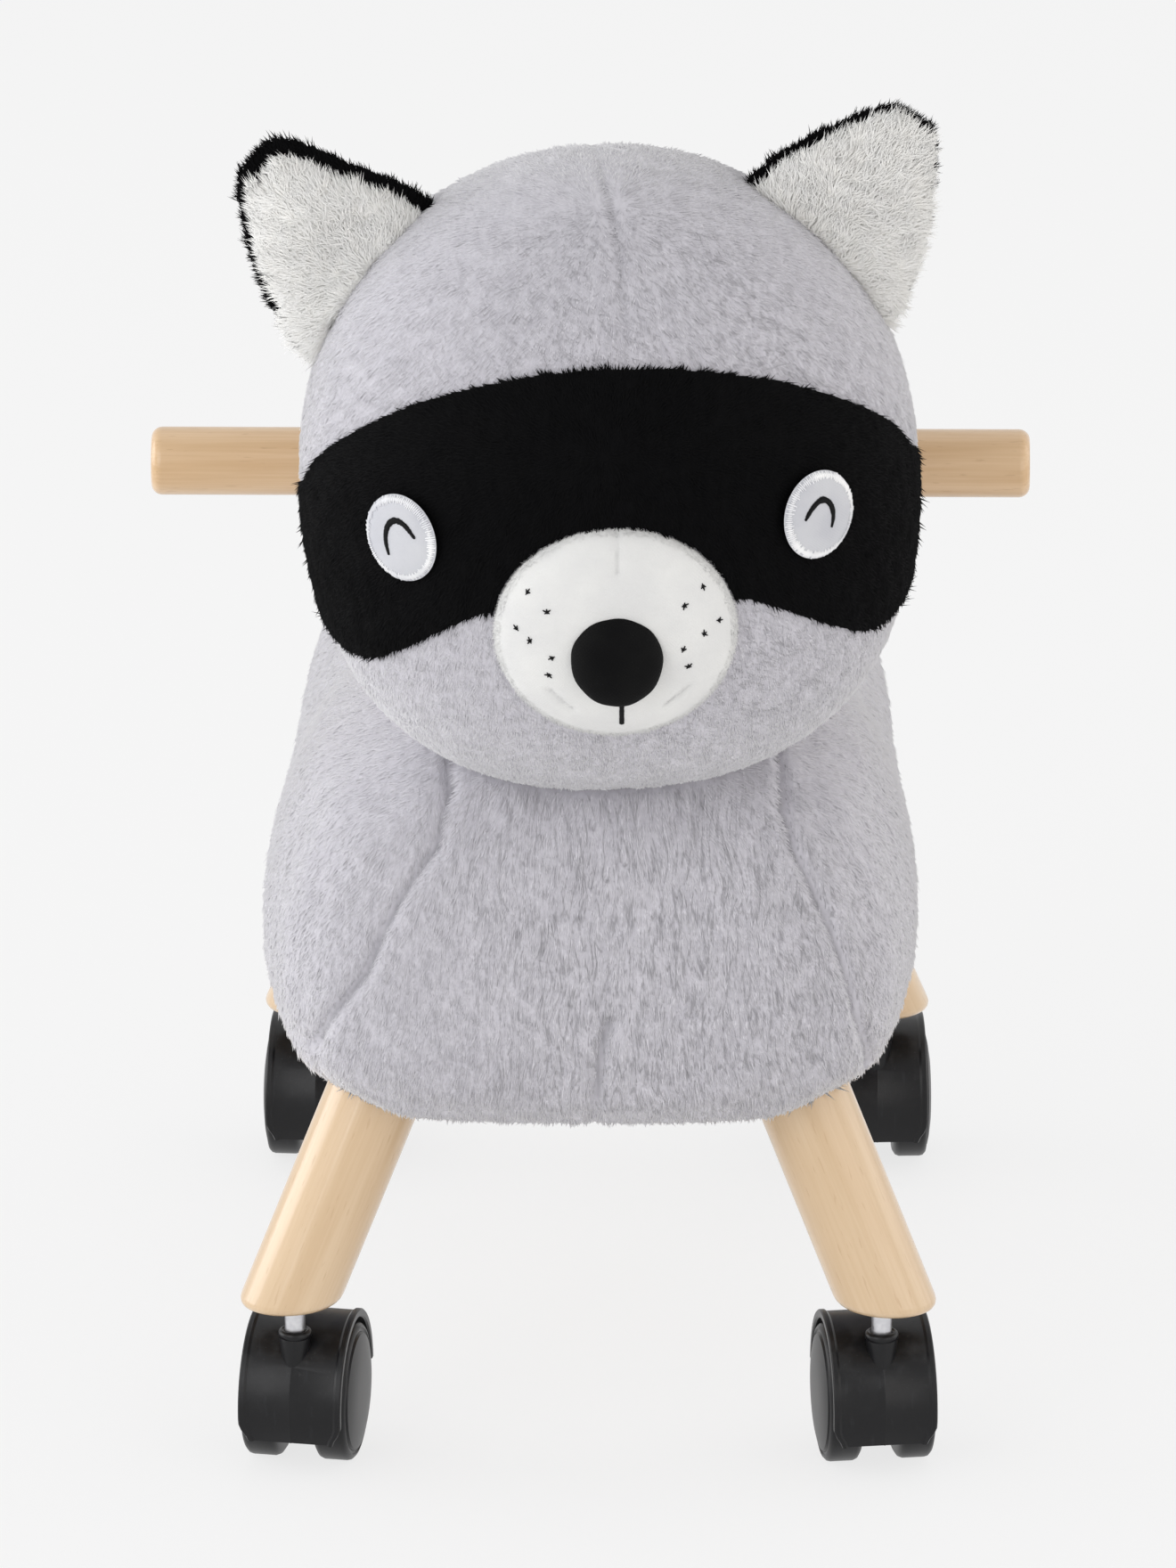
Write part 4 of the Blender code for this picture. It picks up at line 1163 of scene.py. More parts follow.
@dataclass(frozen=True)
class Pile:
    """Fur of small pointed tufts that grows on a fabric piece.

    Attributes:
        density: Tufts in each square metre.
        length: A tuft's length.
        width: Its width at the root.
        lean: How far it stands off the cloth, in radians.
        scatter: How far its heading strays, in radians.
        parting: How much each axis is squeezed where the pile parts in lines.
        facets: How much each side of a tuft has its own shading.
        seed: Which of the endless random rows it takes.
    """

    density: float
    length: float
    width: float
    lean: float
    scatter: float
    parting: Colour | None = None
    facets: float = 0.5
    seed: int = 1

    # A tuft's faces, by the numbers of its three root corners and of its tip
    faces = ((0, 1, 2), (1, 0, 3), (2, 1, 3), (0, 2, 3))

    def grow(self, name: str, ground: Piece, heading: Callable[[Points, Points], Points],
             keep: Callable[[Points, Points], Points],
             gap: Callable[[Points], Points] | None = None) -> Piece:
        """Grow the tufts on a piece.

        Args:
            name: The new piece's name.
            ground: The piece that they grow on.
            heading: Gives each root's heading from its place and its normal.
            keep: Says which roots grow, from their places and normals.
            gap: Gives each root's distance from the nearest seam, where tufts are short and
                painted darker.

        Returns:
            The tufts as one piece.
        """
        draw = np.random.default_rng(self.seed)
        roots, up = self.roots(ground, draw)
        kept = keep(roots, up)
        roots, up = roots[kept], up[kept]
        count = len(roots)

        def sway(middle: float, share: float, length: float, step: int,
                 spread: float) -> Points:
            """Return values that stray from patch to patch and from tuft to tuft."""
            patches = share * waves(roots, length, self.seed + step)
            return middle + patches + draw.normal(0, spread, count)

        along = heading(roots, up)
        along = unit(along - (along * up).sum(1, keepdims=True) * up)
        turn = sway(0.0, self.scatter, 0.009, 7, self.scatter)[:, None]
        ahead = np.cos(turn) * along + np.sin(turn) * np.cross(up, along)
        size = self.length * sway(0.85, 0.25, 0.006, 3, 0.12)
        size = np.clip(size, 0.45 * self.length, 1.35 * self.length)
        lean = self.lean * sway(1.0, 0.3, 0.008, 5, 0.25)
        if self.parting:
            lines = waves(roots * np.array(self.parting), 0.0042, self.seed + 9)
            laid = 1 - 0.75 * bell(lines, 0.16)
            size *= 0.45 + 0.55 * laid
            lean *= laid
        room = gap(roots) if gap else np.ones(count)
        size = np.minimum(size, 0.0009 + 0.75 * room)[:, None]
        lean = lean[:, None]
        side = np.cross(up, ahead) * self.width * 0.5
        base = roots - up * self.width * 0.4
        tip = roots + size * (np.cos(lean) * ahead + np.sin(lean) * up)
        verts = np.stack([base + side, base - side, base + up * self.width * 0.55, tip], 1)
        table = np.arange(count)[:, None, None] * 4 + np.array(self.faces)
        piece = shaped(name, verts.reshape(-1, 3).tolist(), (), table.reshape(-1, 3).tolist())
        # The tip mark, 0 at the root, lets the finish paint shade at the roots; the seam mark
        # lets it paint shade near a seam.
        rise = np.array([0, 0, 0, 1]) * (0.8 + draw.uniform(0, 0.4, (count, 1)))
        mark(piece, "tip", np.clip(rise, 0, 1))
        mark(piece, "seam", np.repeat(bell(room, 0.0016), 4))
        self.shade(piece, np.repeat(up, 4, 0), np.repeat(ahead, 4, 0))
        return piece

    def roots(self, ground: Piece, draw: np.random.Generator) -> tuple[Points, Points]:
        """Return evenly strewn roots on a piece and the normals there.

        Args:
            ground: The piece.
            draw: Where the random numbers come from.

        Returns:
            The places and the normals.
        """
        mesh = ground.data
        mesh.calc_loop_triangles()
        corners = np.empty(len(mesh.loop_triangles) * 3, np.int32)
        mesh.loop_triangles.foreach_get("vertices", corners)
        corners = corners.reshape(-1, 3)
        places, normals = points_of(ground)[corners], normals_of(ground)[corners]
        first, second = places[:, 1] - places[:, 0], places[:, 2] - places[:, 0]
        area = np.linalg.norm(np.cross(first, second), axis=1) / 2
        total = np.cumsum(area)
        count = int(total[-1] * self.density)
        spots = (np.arange(count) + draw.uniform(0, 1, count)) * total[-1] / count
        face = np.searchsorted(total, spots).clip(0, len(area) - 1)
        shares = draw.uniform(0, 1, (2, count))
        first, second = np.where(shares.sum(0) > 1, 1 - shares, shares)
        parts = np.stack([1 - first - second, first, second], 1)[:, :, None]
        return (places[face] * parts).sum(1), unit((normals[face] * parts).sum(1))

    def shade(self, piece: Piece, up: Points, ahead: Points) -> None:
        """Give the tufts the soft shading of the cloth that they grow on."""
        piece.data.polygons.foreach_set("use_smooth", [True] * len(piece.data.polygons))
        own = normals_of(piece)
        blended = unit(up * (1.2 - self.facets) + own * self.facets + ahead * 0.1)
        piece.data.normals_split_custom_set_from_vertices(blended.tolist())


def combed_down(places: Points, up: Points) -> Points:
    """Return the nap's heading on the body and the head: down, and back on top."""
    way = np.tile((0.0, 0.35, -1.0), (len(places), 1))
    way[:, 0] = np.clip(places[:, 0] / 0.05, -1, 1) * 0.12
    return way


@dataclass(frozen=True)
class HeadForm:
    """The rounded form of the head in its own axes.

    Attributes:
        centre: The head's middle.
        half: Its half width, half depth and half height.
        roll: How far it rolls to the animal's right.
        turn: How far it turns.
        power: How boxy it is.
        jaw_power: How much boxier it is at the jaw.
        jaw_share: How soon the jaw's shape starts.
        chin_lift: How much less high the sewn head is below its middle.
    """

    centre: Colour = (0.0073, -0.1460, 0.3850)
    half: Colour = (0.112, 0.112, 0.117)
    roll: float = math.radians(3.2)
    turn: float = math.radians(1.0)
    power: float = 2.05
    jaw_power: float = 0.32
    jaw_share: float = 1.6
    chin_lift: float = 0.026

    def place(self) -> Matrix:
        """Return the matrix from the head's axes to the toy's."""
        turn = Matrix.Rotation(-self.roll, 4, "Y") @ Matrix.Rotation(self.turn, 4, "Z")
        return Matrix.Translation(self.centre) @ turn

    def axes(self) -> Points:
        """Return the head's axes as the columns of a matrix."""
        return np.array(self.place())[:3, :3]

    def world(self, places: Points) -> Points:
        """Return places given in the head's axes in the toy's."""
        return moved(places, self.place())

    def local(self, places: Points) -> Points:
        """Return places given in the toy's axes in the head's."""
        return moved(places, self.place().inverted())

    def powers(self, ways: Points) -> Points:
        """Return how boxy the form is in the directions given."""
        jaw = ease(-ways[:, 2] * self.jaw_share, 0.0, 1.0)
        return (self.power + self.jaw_power * jaw)[:, None]

    def reach(self, ways: Points, offset: float = 0.0) -> Points:
        """Return the form's points in the directions given.

        Args:
            ways: Directions of length one, in the head's axes.
            offset: How far the form is grown.

        Returns:
            The points, in the head's axes.
        """
        power = self.powers(ways)
        size = (np.abs(ways) ** power).sum(1, keepdims=True) ** (-1 / power)
        return ways * size * (np.array(self.half) + offset)

    def level(self, places: Points) -> Points:
        """Return how far places in the toy's axes lie out: 1 on the form."""
        shares = self.local(places) / np.array(self.half)
        power = self.powers(unit(shares))
        return ((np.abs(shares) ** power).sum(1, keepdims=True) ** (1 / power))[:, 0]

    def ball(self, name: str, offset: float) -> Piece:
        """Return the form as a fine closed mesh in the toy's axes.

        Args:
            name: The mesh's name.
            offset: How far the form is grown.

        Returns:
            The new object.
        """
        piece = ball(name, 96, 64, tip=0.0)
        set_points(piece, self.world(self.reach(unit(points_of(piece)), offset)))
        return piece

    def sewn_ball(self, name: str, offset: float) -> Piece:
        """Return the form with its lower half drawn in, as the sewn head has it."""
        piece = self.ball(name, offset)
        local = self.local(points_of(piece))
        local[:, 2] *= np.where(local[:, 2] < 0, 1 - self.chin_lift, 1)
        set_points(piece, self.world(local))
        return piece


@dataclass
class PlushBody:
    """The stuffed body, sewn from panels.

    Attributes:
        head: The form of the head that sits in it.
        voxel: The size of the cloth's faces before they are halved.
        cap: How far the cloth may swell.
        seam_depth: How deep the seams lie.
        seam_width: How wide the hollow beside a seam is.
        belly_seam_height: Where the underside's panel is sewn on.
        chest_facing: How far forwards the cloth faces where the chest's pile ends.
        leg_room: How much the legs' openings are grown.
        panel_room: How much the belly panel's opening is grown.
    """

    head: HeadForm
    voxel: float = 0.004
    cap: float = 0.0028
    seam_depth: float = 0.0030
    seam_width: float = 0.0030
    belly_seam_height: float = 0.1410
    chest_facing: float = -0.5
    leg_room: float = 0.0006
    panel_room: float = 0.0016

    # The chest's seams from the front: across and up, from under the chin down
    left_seam = (
        (0.066, 0.290), (0.069, 0.277), (0.071, 0.263), (0.075, 0.251), (0.085, 0.2295),
        (0.093, 0.208), (0.098, 0.186), (0.103, 0.159), (0.105, 0.142),
    )
    right_seam = (
        (-0.048, 0.290), (-0.050, 0.272), (-0.055, 0.2545), (-0.070, 0.232),
        (-0.081, 0.205), (-0.093, 0.187), (-0.099, 0.173), (-0.104, 0.150), (-0.105, 0.142),
    )
    dart = ((0.0078, 0.191), (0.0052, 0.181), (0.0042, 0.170), (0.0032, 0.160), (0.002, 0.141))
    # The back's two seams from above: across and along, from the neck to the rump
    back_seam = (
        (0.072, -0.075), (0.068, -0.02), (0.066, 0.05), (0.064, 0.12), (0.055, 0.175),
        (0.04, 0.2),
    )

    def build(self) -> Piece:
        """Build the body and dress it.

        Returns:
            The body.
        """
        body = self.skin()
        remeshed(body, self.voxel, 14)
        puff(body, self.distance(body) < self.seam_width * 0.8, self.cap)
        relax(body, 2)
        self.draw_shoulders(body)
        halved(body)
        sink_seams(body, self.distance(body), self.seam_depth, self.seam_width)
        self.raise_rim(body)
        self.open_up(body)
        smooth(body, 60)
        return settle(body, GREY_PLUSH, "body_cover")

    def skin(self) -> Piece:
        """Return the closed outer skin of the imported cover.

        Returns:
            The new object.
        """
        body = duplicate(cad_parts["body_cover"], "plush_body")
        mesh = bmesh.new()
        mesh.from_mesh(body.data)
        bmesh.ops.remove_doubles(mesh, verts=mesh.verts[:], dist=WELD)
        low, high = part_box("body_cover")
        middle, half = (low + high) / 2, (high - low) / 2
        inner = []
        for face in mesh.faces:
            way = face.calc_center_median() - middle
            way = Vector(part / size ** 2 for part, size in zip(way, half)).normalized()
            if face.normal.dot(way) < 0.35:
                inner.append(face)
        bmesh.ops.delete(mesh, geom=inner, context="FACES")
        bmesh.ops.holes_fill(mesh, edges=mesh.edges[:], sides=0)
        bmesh.ops.recalc_face_normals(mesh, faces=mesh.faces[:])
        mesh.to_mesh(body.data)
        mesh.free()
        return body

    def seams(self, body: Piece) -> list[Points]:
        """Lay the seams on the body's surface.

        Args:
            body: The body.

        Returns:
            Each seam as a row of points.
        """
        tree = surface_tree(body)
        ahead, down = Vector((0, 1, 0)), Vector((0, 0, -1))
        lines = [
            cast(tree, [Vector((x, -1, z)) for x, z in line], ahead)
            for line in (self.left_seam, self.right_seam, self.dart)
        ]
        lines += [
            cast(tree, [Vector((side.value * x, y, 1)) for x, y in self.back_seam], down)
            for side in Side
        ]
        return [line for line in lines if len(line) > 1]

    def distance(self, body: Piece) -> Points:
        """Return each vertex's distance from a seam, the belly's seam among them."""
        places, facing = points_of(body), normals_of(body)
        belly = np.abs(places[:, 2] - self.belly_seam_height)
        belly += np.where(facing[:, 2] < 0.1, 0, 1)
        return np.minimum(seam_distance(places, self.seams(body)), belly)

    def draw_shoulders(self, body: Piece) -> None:
        """Draw the cloth in below the head's sides, and up behind it round the post."""
        places = points_of(body)
        share = bell(places[:, 2] - 0.236, 0.024) * ease(np.abs(places[:, 0]), 0.06, 0.10)
        room = np.where(places[:, 0] < 0, 0.0030, 0.0024)
        places[:, 0] -= np.sign(places[:, 0]) * room * share
        nape = np.exp(-(places[:, 0] / 0.060) ** 2 - ((places[:, 1] + 0.066) / 0.034) ** 2)
        places[:, 2] += 0.017 * nape * ease(places[:, 2], 0.27, 0.29)
        set_points(body, places)

    def raise_rim(self, body: Piece) -> None:
        """Lift the cloth that meets the chin up to it."""
        places = points_of(body)
        near = bell(self.head.level(places) - 1, 0.05)
        below = np.clip(-self.head.local(places)[:, 2], 0, None)
        places[:, 2] += near * below * (self.head.chin_lift + 0.002)
        set_points(body, places)

    def open_up(self, body: Piece) -> None:
        """Cut the cover's openings for the head, the legs and the belly panel."""
        tools = [self.head.sewn_ball("head_tool", -0.0004)]
        tools += [leg.dowel("leg_tool", self.leg_room, 0.03) for leg in Leg.all()]
        low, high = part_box("belly_panel")
        middle, room = (low + high) / 2, self.panel_room
        deselect()
        bpy.ops.mesh.primitive_cube_add(size=1, location=(middle.x, middle.y, low.z))
        bpy.context.active_object.scale = (high.x - low.x + room, high.y - low.y + room, 0.012)
        panel = named("panel_tool")
        round_edges(panel, 0.0128, 8, lambda *ends: True)
        cut(body, joined([*tools, panel], "openings"))

    def fur(self, body: Piece) -> list[Piece]:
        """Grow the body's short pile, finest on the chest.

        Args:
            body: The body.

        Returns:
            The pile in four pieces.
        """
        lines = self.seams(body)

        def gap(places: Points) -> Points:
            """Return how far places lie from a seam; below the hem counts as near."""
            hem = np.maximum(places[:, 2] - self.belly_seam_height, 0) + 0.0012
            return np.minimum(seam_distance(places, lines), hem)

        def split(places: Points, up: Points) -> tuple[Points, Points]:
            """Return how far roots lie to the left, and which are on the chest."""
            facing = up[:, 1] + 0.15 * waves(places, 0.003, 8)
            return places[:, 0], (facing < self.chest_facing) & (places[:, 1] < -0.1)

        def shown(places: Points) -> Points:
            """Say which roots lie on the cover and clear of the seams."""
            outside = (self.head.level(places) > 0.990) & (places[:, 2] > 0.1345)
            return outside & (seam_distance(places, lines) > 0.0010)

        chest = Pile(1000000, 0.0042, 0.0008, 0.17, 0.13, (1.0, 0.3, 0.26), seed=11)
        flank = Pile(330000, 0.0050, 0.0011, 0.19, 0.2, (0.3, 1.0, 0.3), seed=14)
        return quarters(body, split, shown, gap, (
            ("chest", chest, CHEST_PLUSH), ("flank", flank, GREY_PLUSH),
        ))


def quarters(ground: Piece, split: Callable[[Points, Points], tuple[Points, Points]],
             shown: Callable[[Points], Points], gap: Callable[[Points], Points],
             kinds: Sequence[tuple[str, Pile, Finish]]) -> list[Piece]:
    """Grow two kinds of pile on each side of a piece.

    Args:
        ground: The piece.
        split: Gives how far roots lie to the left, and which take the first kind.
        shown: Says which roots grow at all.
        gap: Gives each root's distance from the nearest seam.
        kinds: The word, the pile and the finish of both kinds.

    Returns:
        The pile in four pieces.
    """
    def quarter(side: Side, first: bool) -> Callable[[Points, Points], Points]:
        """Return what says which roots of one quarter grow."""
        def keep(places: Points, up: Points) -> Points:
            """Say which roots lie there and grow."""
            left, firsts = split(places, up)
            here = (firsts == first) & (left * side.value >= 0)
            here[here] = shown(places[here])
            return here
        return keep

    pieces = []
    for side in Side:
        for first, (part, pile, finish) in zip((True, False), kinds):
            own = replace(pile, seed=pile.seed + side.value)
            name = side.word + "_" + part + "_pile"
            fur = own.grow(name, ground, combed_down, quarter(side, first), gap)
            pieces.append(settle(fur, finish))
    return pieces


@dataclass
class PlushHead:
    """The stuffed head.

    Attributes:
        form: Its rounded form.
        voxel: The size of the cloth's faces before they are halved.
        cap: How far the cloth may swell.
        face_end: How far back the face's finer pile reaches.
    """

    form: HeadForm
    voxel: float = 0.004
    cap: float = 0.0022
    face_end: float = 0.02

    # The seam over the crown and the one under the chin, in the head's axes
    crown_seam = (
        (0.009, -0.093, 0.066), (0.009, -0.082, 0.080), (0.009, -0.066, 0.095),
        (0.007, -0.0455, 0.107), (0.004, -0.02, 0.115), (0.0, 0.03, 0.112),
        (0.0, 0.075, 0.085), (0.0, 0.105, 0.03), (0.0, 0.108, -0.03), (0.0, 0.08, -0.08),
    )
    chin_seam = ((0.0005, -0.095, -0.073), (-0.0013, -0.072, -0.098), (0.0, -0.03, -0.115))

    def build(self) -> Piece:
        """Build the head and dress it.

        Returns:
            The head.
        """
        head = self.form.sewn_ball("plush_head", -0.0002)
        remeshed(head, self.voxel, 2)
        lines = self.seams()
        puff(head, seam_distance(points_of(head), lines) < 0.005, self.cap)
        relax(head, 2)
        halved(head)
        sink_seams(head, seam_distance(points_of(head), lines), 0.0006, 0.0022)
        cut(head, HandleBar().dowel("bar_tool", 0.0006, 0.05))
        smooth(head, 60)
        return settle(head, GREY_PLUSH, "head_cover")

    def seams(self) -> list[Points]:
        """Return the seams as rows of points on the head's form."""
        lines = []
        for line in (self.crown_seam, self.chin_seam):
            ways = unit(np.array(line) / np.array(self.form.half))
            lines.append(self.form.world(self.form.reach(ways, 0.0008)))
        return lines

    def fur(self, head: Piece, mask: "Mask", muzzle: "Muzzle") -> list[Piece]:
        """Grow the head's short pile, clear of the mask and the muzzle.

        Args:
            head: The head.
            mask: The mask.
            muzzle: The muzzle.

        Returns:
            The pile in four pieces.
        """
        lines = self.seams()

        def split(places: Points, up: Points) -> tuple[Points, Points]:
            """Return how far roots lie to the left, and which are on the face."""
            local = self.form.local(places)
            return local[:, 0], local[:, 1] < self.face_end

        def shown(places: Points) -> Points:
            """Say which roots lie on the head, uncovered and clear of the seams."""
            local = self.form.local(places)
            covered = mask.covers(local, -0.001) | (muzzle.level(local) <= 1.0)
            on_seam = seam_distance(places, lines) <= 0.0005
            return (self.form.level(places) > 0.97) & ~covered & ~on_seam

        face = Pile(900000, 0.0040, 0.0008, 0.17, 0.16, (1.0, 0.6, 0.3), seed=23)
        rear = Pile(330000, 0.0050, 0.0011, 0.19, 0.2, (1.0, 0.4, 0.3), seed=26)
        return quarters(
            head, split, shown, lambda places: seam_distance(places, lines) + 0.0010,
            (("face", face, FACE_PLUSH), ("head", rear, GREY_PLUSH)),
        )


@dataclass
class Muzzle:
    """The padded white muzzle with its embroidery.

    Attributes:
        form: The head's form.
        half: Half its width, depth and height.
        proud: How far it stands before the head.
        drop: How far its middle lies below the head's.
        tilt: How far it tips forward.
        faint: How much fainter its grooves are than seams, as more distance from them.
    """

    form: HeadForm
    half: Colour = (0.0435, 0.018, 0.0422)
    proud: float = 0.009
    drop: float = 0.0283
    tilt: float = math.radians(12)
    faint: float = 0.0002

    # Embroidered marks, in the head's axes: across and up
    whiskers = (
        (-0.0305, -0.0081), (-0.0239, -0.0149), (-0.0351, -0.0219), (-0.0305, -0.0262),
        (-0.0230, -0.0326), (-0.0246, -0.0397), (0.0321, -0.0096), (0.0251, -0.0153),
        (0.0371, -0.0234), (0.0315, -0.0274), (0.0238, -0.0324), (0.0254, -0.0396),
    )
    mouth = ((0.0010, -0.0475), (0.0008, -0.0527), (0.0005, -0.0575), (0.0003, -0.0621))
    smiles = (
        ((-0.0247, -0.0469), (-0.0226, -0.0496), (-0.0202, -0.0523), (-0.017, -0.0552)),
        ((0.0160, -0.0560), (0.0196, -0.0533), (0.0226, -0.0512), (0.0253, -0.0485)),
    )
    bridge = ((0.0024, 0.0120), (0.0024, 0.0055), (0.0020, -0.0010))

    def place(self) -> Matrix:
        """Return the matrix from a unit ball to the muzzle, in the head's axes."""
        depth = self.form.half[1] + self.proud - self.half[1]
        shift = Matrix.Translation((0, -depth, -self.drop))
        return shift @ Matrix.Rotation(self.tilt, 4, "X") @ Matrix.Diagonal((*self.half, 1))

    def level(self, local: Points) -> Points:
        """Return how far places in the head's axes lie out: 1 on the muzzle."""
        return np.linalg.norm(moved(local, self.place().inverted()), axis=1)

    def ball(self, name: str, offset: float) -> Piece:
        """Return the muzzle's closed form, grown by the offset, in the toy's axes."""
        grown = Matrix.Diagonal((*(1 + offset / size for size in self.half), 1))
        return transform(ball(name, 96, 64), self.form.place() @ self.place() @ grown)

    def build(self) -> Piece:
        """Build the muzzle and dress it.

        Returns:
            The muzzle.
        """
        muzzle = self.ball("plush_muzzle", 0.0)
        remeshed(muzzle, 0.0012, 1)
        tree = surface_tree(muzzle)
        places = points_of(muzzle)
        smiles = seam_distance(places, [self.on_surface(tree, line) for line in self.smiles])
        bridge = seam_distance(places, [self.on_surface(tree, self.bridge)])
        grooves = np.minimum(smiles + self.faint, bridge + 2 * self.faint)
        sink_seams(muzzle, grooves, 0.0011, 0.0016)
        cut(muzzle, self.form.ball("head_tool", 0.0))
        smooth(muzzle, 60)
        return settle(muzzle, WHITE_VELOUR, "muzzle")

    def fur(self, muzzle: Piece) -> Piece:
        """Grow the velour's fuzz round the muzzle's edge.

        Args:
            muzzle: The muzzle.

        Returns:
            The fuzz.
        """
        ahead = -self.form.axes()[:, 1]

        def keep(places: Points, up: Points) -> Points:
            """Say which roots lie at the edge and outside the head."""
            return (up @ ahead < 0.62) & (self.form.level(places) > 1.0)

        pile = Pile(1600000, 0.0016, 0.0004, 0.70, 0.6, seed=51)
        return settle(pile.grow("muzzle_fuzz", muzzle, combed_down, keep), WHITE_VELOUR)

    def on_surface(self, tree: BVHTree, line: Sequence[tuple[float, float]]) -> Points:
        """Return a line given across and up as points on a surface seen from the front."""
        return cast_in(self.form.place(), tree, line, -0.3)

    def embroider(self, muzzle: Piece) -> list[Piece]:
        """Sew the mouth and the whiskers' knots on.

        Args:
            muzzle: The muzzle.

        Returns:
            The new pieces.
        """
        tree = surface_tree(muzzle)
        stitch = Stitch(0.0017, 0.0008)
        mouth = stitch.row("mouth_stitch", self.on_surface(tree, self.mouth), tree, 0.00034)
        knots = [
            stitch.knot(Vector(self.on_surface(tree, [spot])[0]), tree, index)
            for index, spot in enumerate(self.whiskers)
        ]
        pieces = [mouth, joined(knots, "whisker_knots")]
        return [settle(smooth(piece), BLACK_THREAD) for piece in pieces]


def cast_in(matrix: Matrix, tree: BVHTree, line: Sequence[tuple[float, float]],
            start: float) -> Points:
    """Return a line on a surface as a form's own front shows it.

    Args:
        matrix: The form's place.
        tree: The surface.
        line: The line's points across and up, in the form's axes.
        start: Where before the form the rays start.

    Returns:
        The points on the surface.
    """
    way = (matrix.to_3x3() @ Vector((0, 1, 0))).normalized()
    return cast(tree, [matrix @ Vector((x, start, z)) for x, z in line], way)


@dataclass(frozen=True)
class Stitch:
    """One thread of embroidery.

    Attributes:
        length: How far it crosses its line.
        thickness: The thread's thickness.
        uneven: How much the stitches of a row differ in length.
        tapered: True for a row that narrows to its ends.
    """

    length: float
    thickness: float
    uneven: float = 0.1
    tapered: bool = False

    def thread(self, name: str, length: float | None = None) -> Piece:
        """Return one stitch along X, thicker in its middle.

        Args:
            name: The piece's name.
            length: Its length, if not the stitch's own.

        Returns:
            The new object.
        """
        size = length or self.length
        piece = cylinder(name, self.thickness / 2, size, turn=(0, QUARTER, 0), sides=6)
        with editing(piece):
            bpy.ops.mesh.bisect(plane_co=(0, 0, 0), plane_no=(1, 0, 0))
        places = points_of(piece)
        ends = 1 - 0.55 * np.abs(places[:, 0] / (size / 2))
        places[:, 1] *= ends
        places[:, 2] *= ends
        places[:, 2] += self.thickness * 0.25 * ends
        set_points(piece, places)
        return piece

    def row(self, name: str, line: Points, tree: BVHTree, pitch: float) -> Piece:
        """Return satin stitches side by side along a line on a surface.

        Args:
            name: The piece's name.
            line: The line's points on the surface.
            tree: The surface.
            pitch: The step from one stitch to the next.

        Returns:
            The stitches as one piece.
        """
        steps = np.linalg.norm(np.diff(line, axis=0), axis=1)
        far = np.concatenate([[0], np.cumsum(steps)])
        spots = np.arange(0, far[-1], pitch)
        places = np.stack([np.interp(spots, far, line[:, axis]) for axis in range(3)], 1)
        heads = unit(np.gradient(places, axis=0))
        model = self.thread("stitch_model")
        draw = np.random.default_rng(len(places))
        sizes = 1 + self.uneven * draw.uniform(-1, 1, len(places))
        if self.tapered:
            share = np.linspace(0, 1, len(places))
            sizes *= 0.45 + 0.55 * np.sin(share * math.pi) ** 0.6
        copies = []
        for place, head, size in zip(places, heads, sizes):
            hit, normal, _, _ = tree.find_nearest(Vector(place))
            up = normal.normalized()
            ahead = Vector(head)
            ahead = (ahead - up * ahead.dot(up)).normalized()
            axes = Matrix((ahead.cross(up), ahead, up)).transposed().to_4x4()
            lie = Matrix.Translation(hit) @ axes @ Matrix.Diagonal((size, 1, 1, 1))
            copies.append(transform(duplicate(model, "stitch"), lie))
        discard(model)
        return joined(copies, name)

    def knot(self, place: Vector, tree: BVHTree, index: int) -> Piece:
        """Return a small knot of three crossed threads on a surface.

        Args:
            place: Where it is sewn.
            tree: The surface.
            index: The knot's number, which turns it.

        Returns:
            The knot.
        """
        hit, normal, _, _ = tree.find_nearest(place)
        turn = normal.to_track_quat("Z", "Y").to_matrix().to_4x4()
        arms = []
        for arm in range(3):
            thread = self.thread("knot_arm", 0.0019 + 0.0009 * ((index + arm) % 2))
            angle = math.radians(60 * arm + 37 * index)
            lie = Matrix.Translation(hit) @ turn @ Matrix.Rotation(angle, 4, "Z")
            arms.append(transform(thread, lie @ Matrix.Translation((0.0003, 0, 0))))
        return joined(arms, "knot")


@dataclass
class Nose:
    """The padded black nose.

    Attributes:
        muzzle: What it sits on.
        half: Half its width, depth and height.
        reach: How far its front lies before the head's middle.
        drop: How far its middle lies below the head's.
    """

    muzzle: Muzzle
    half: Colour = (0.0165, 0.010, 0.0172)
    reach: float = 0.130
    drop: float = 0.0341

    def build(self) -> Piece:
        """Build the nose and dress it.

        Returns:
            The nose.
        """
        nose = ball("plush_nose", 64, 40)
        places = points_of(nose)
        rim = np.hypot(places[:, 0], places[:, 2])
        front = np.clip(-places[:, 1], 0, 1)
        places[:, 1] *= 1 - 0.10 * bell(rim, 0.5) * front
        around = np.arctan2(places[:, 2], places[:, 0])
        creases = 0.006 * np.cos(9 * around) * ease(rim, 0.75, 1.0)
        places[:, (0, 2)] *= (1 + creases)[:, None]
        set_points(nose, places)
        shift = Matrix.Translation((0, self.half[1] - self.reach, -self.drop))
        transform(nose, self.muzzle.form.place() @ shift @ Matrix.Diagonal((*self.half, 1)))
        cut(nose, self.muzzle.ball("muzzle_tool", 0.0002))
        smooth(nose, 60)
        return settle(nose, NOSE_CLOTH, "nose")


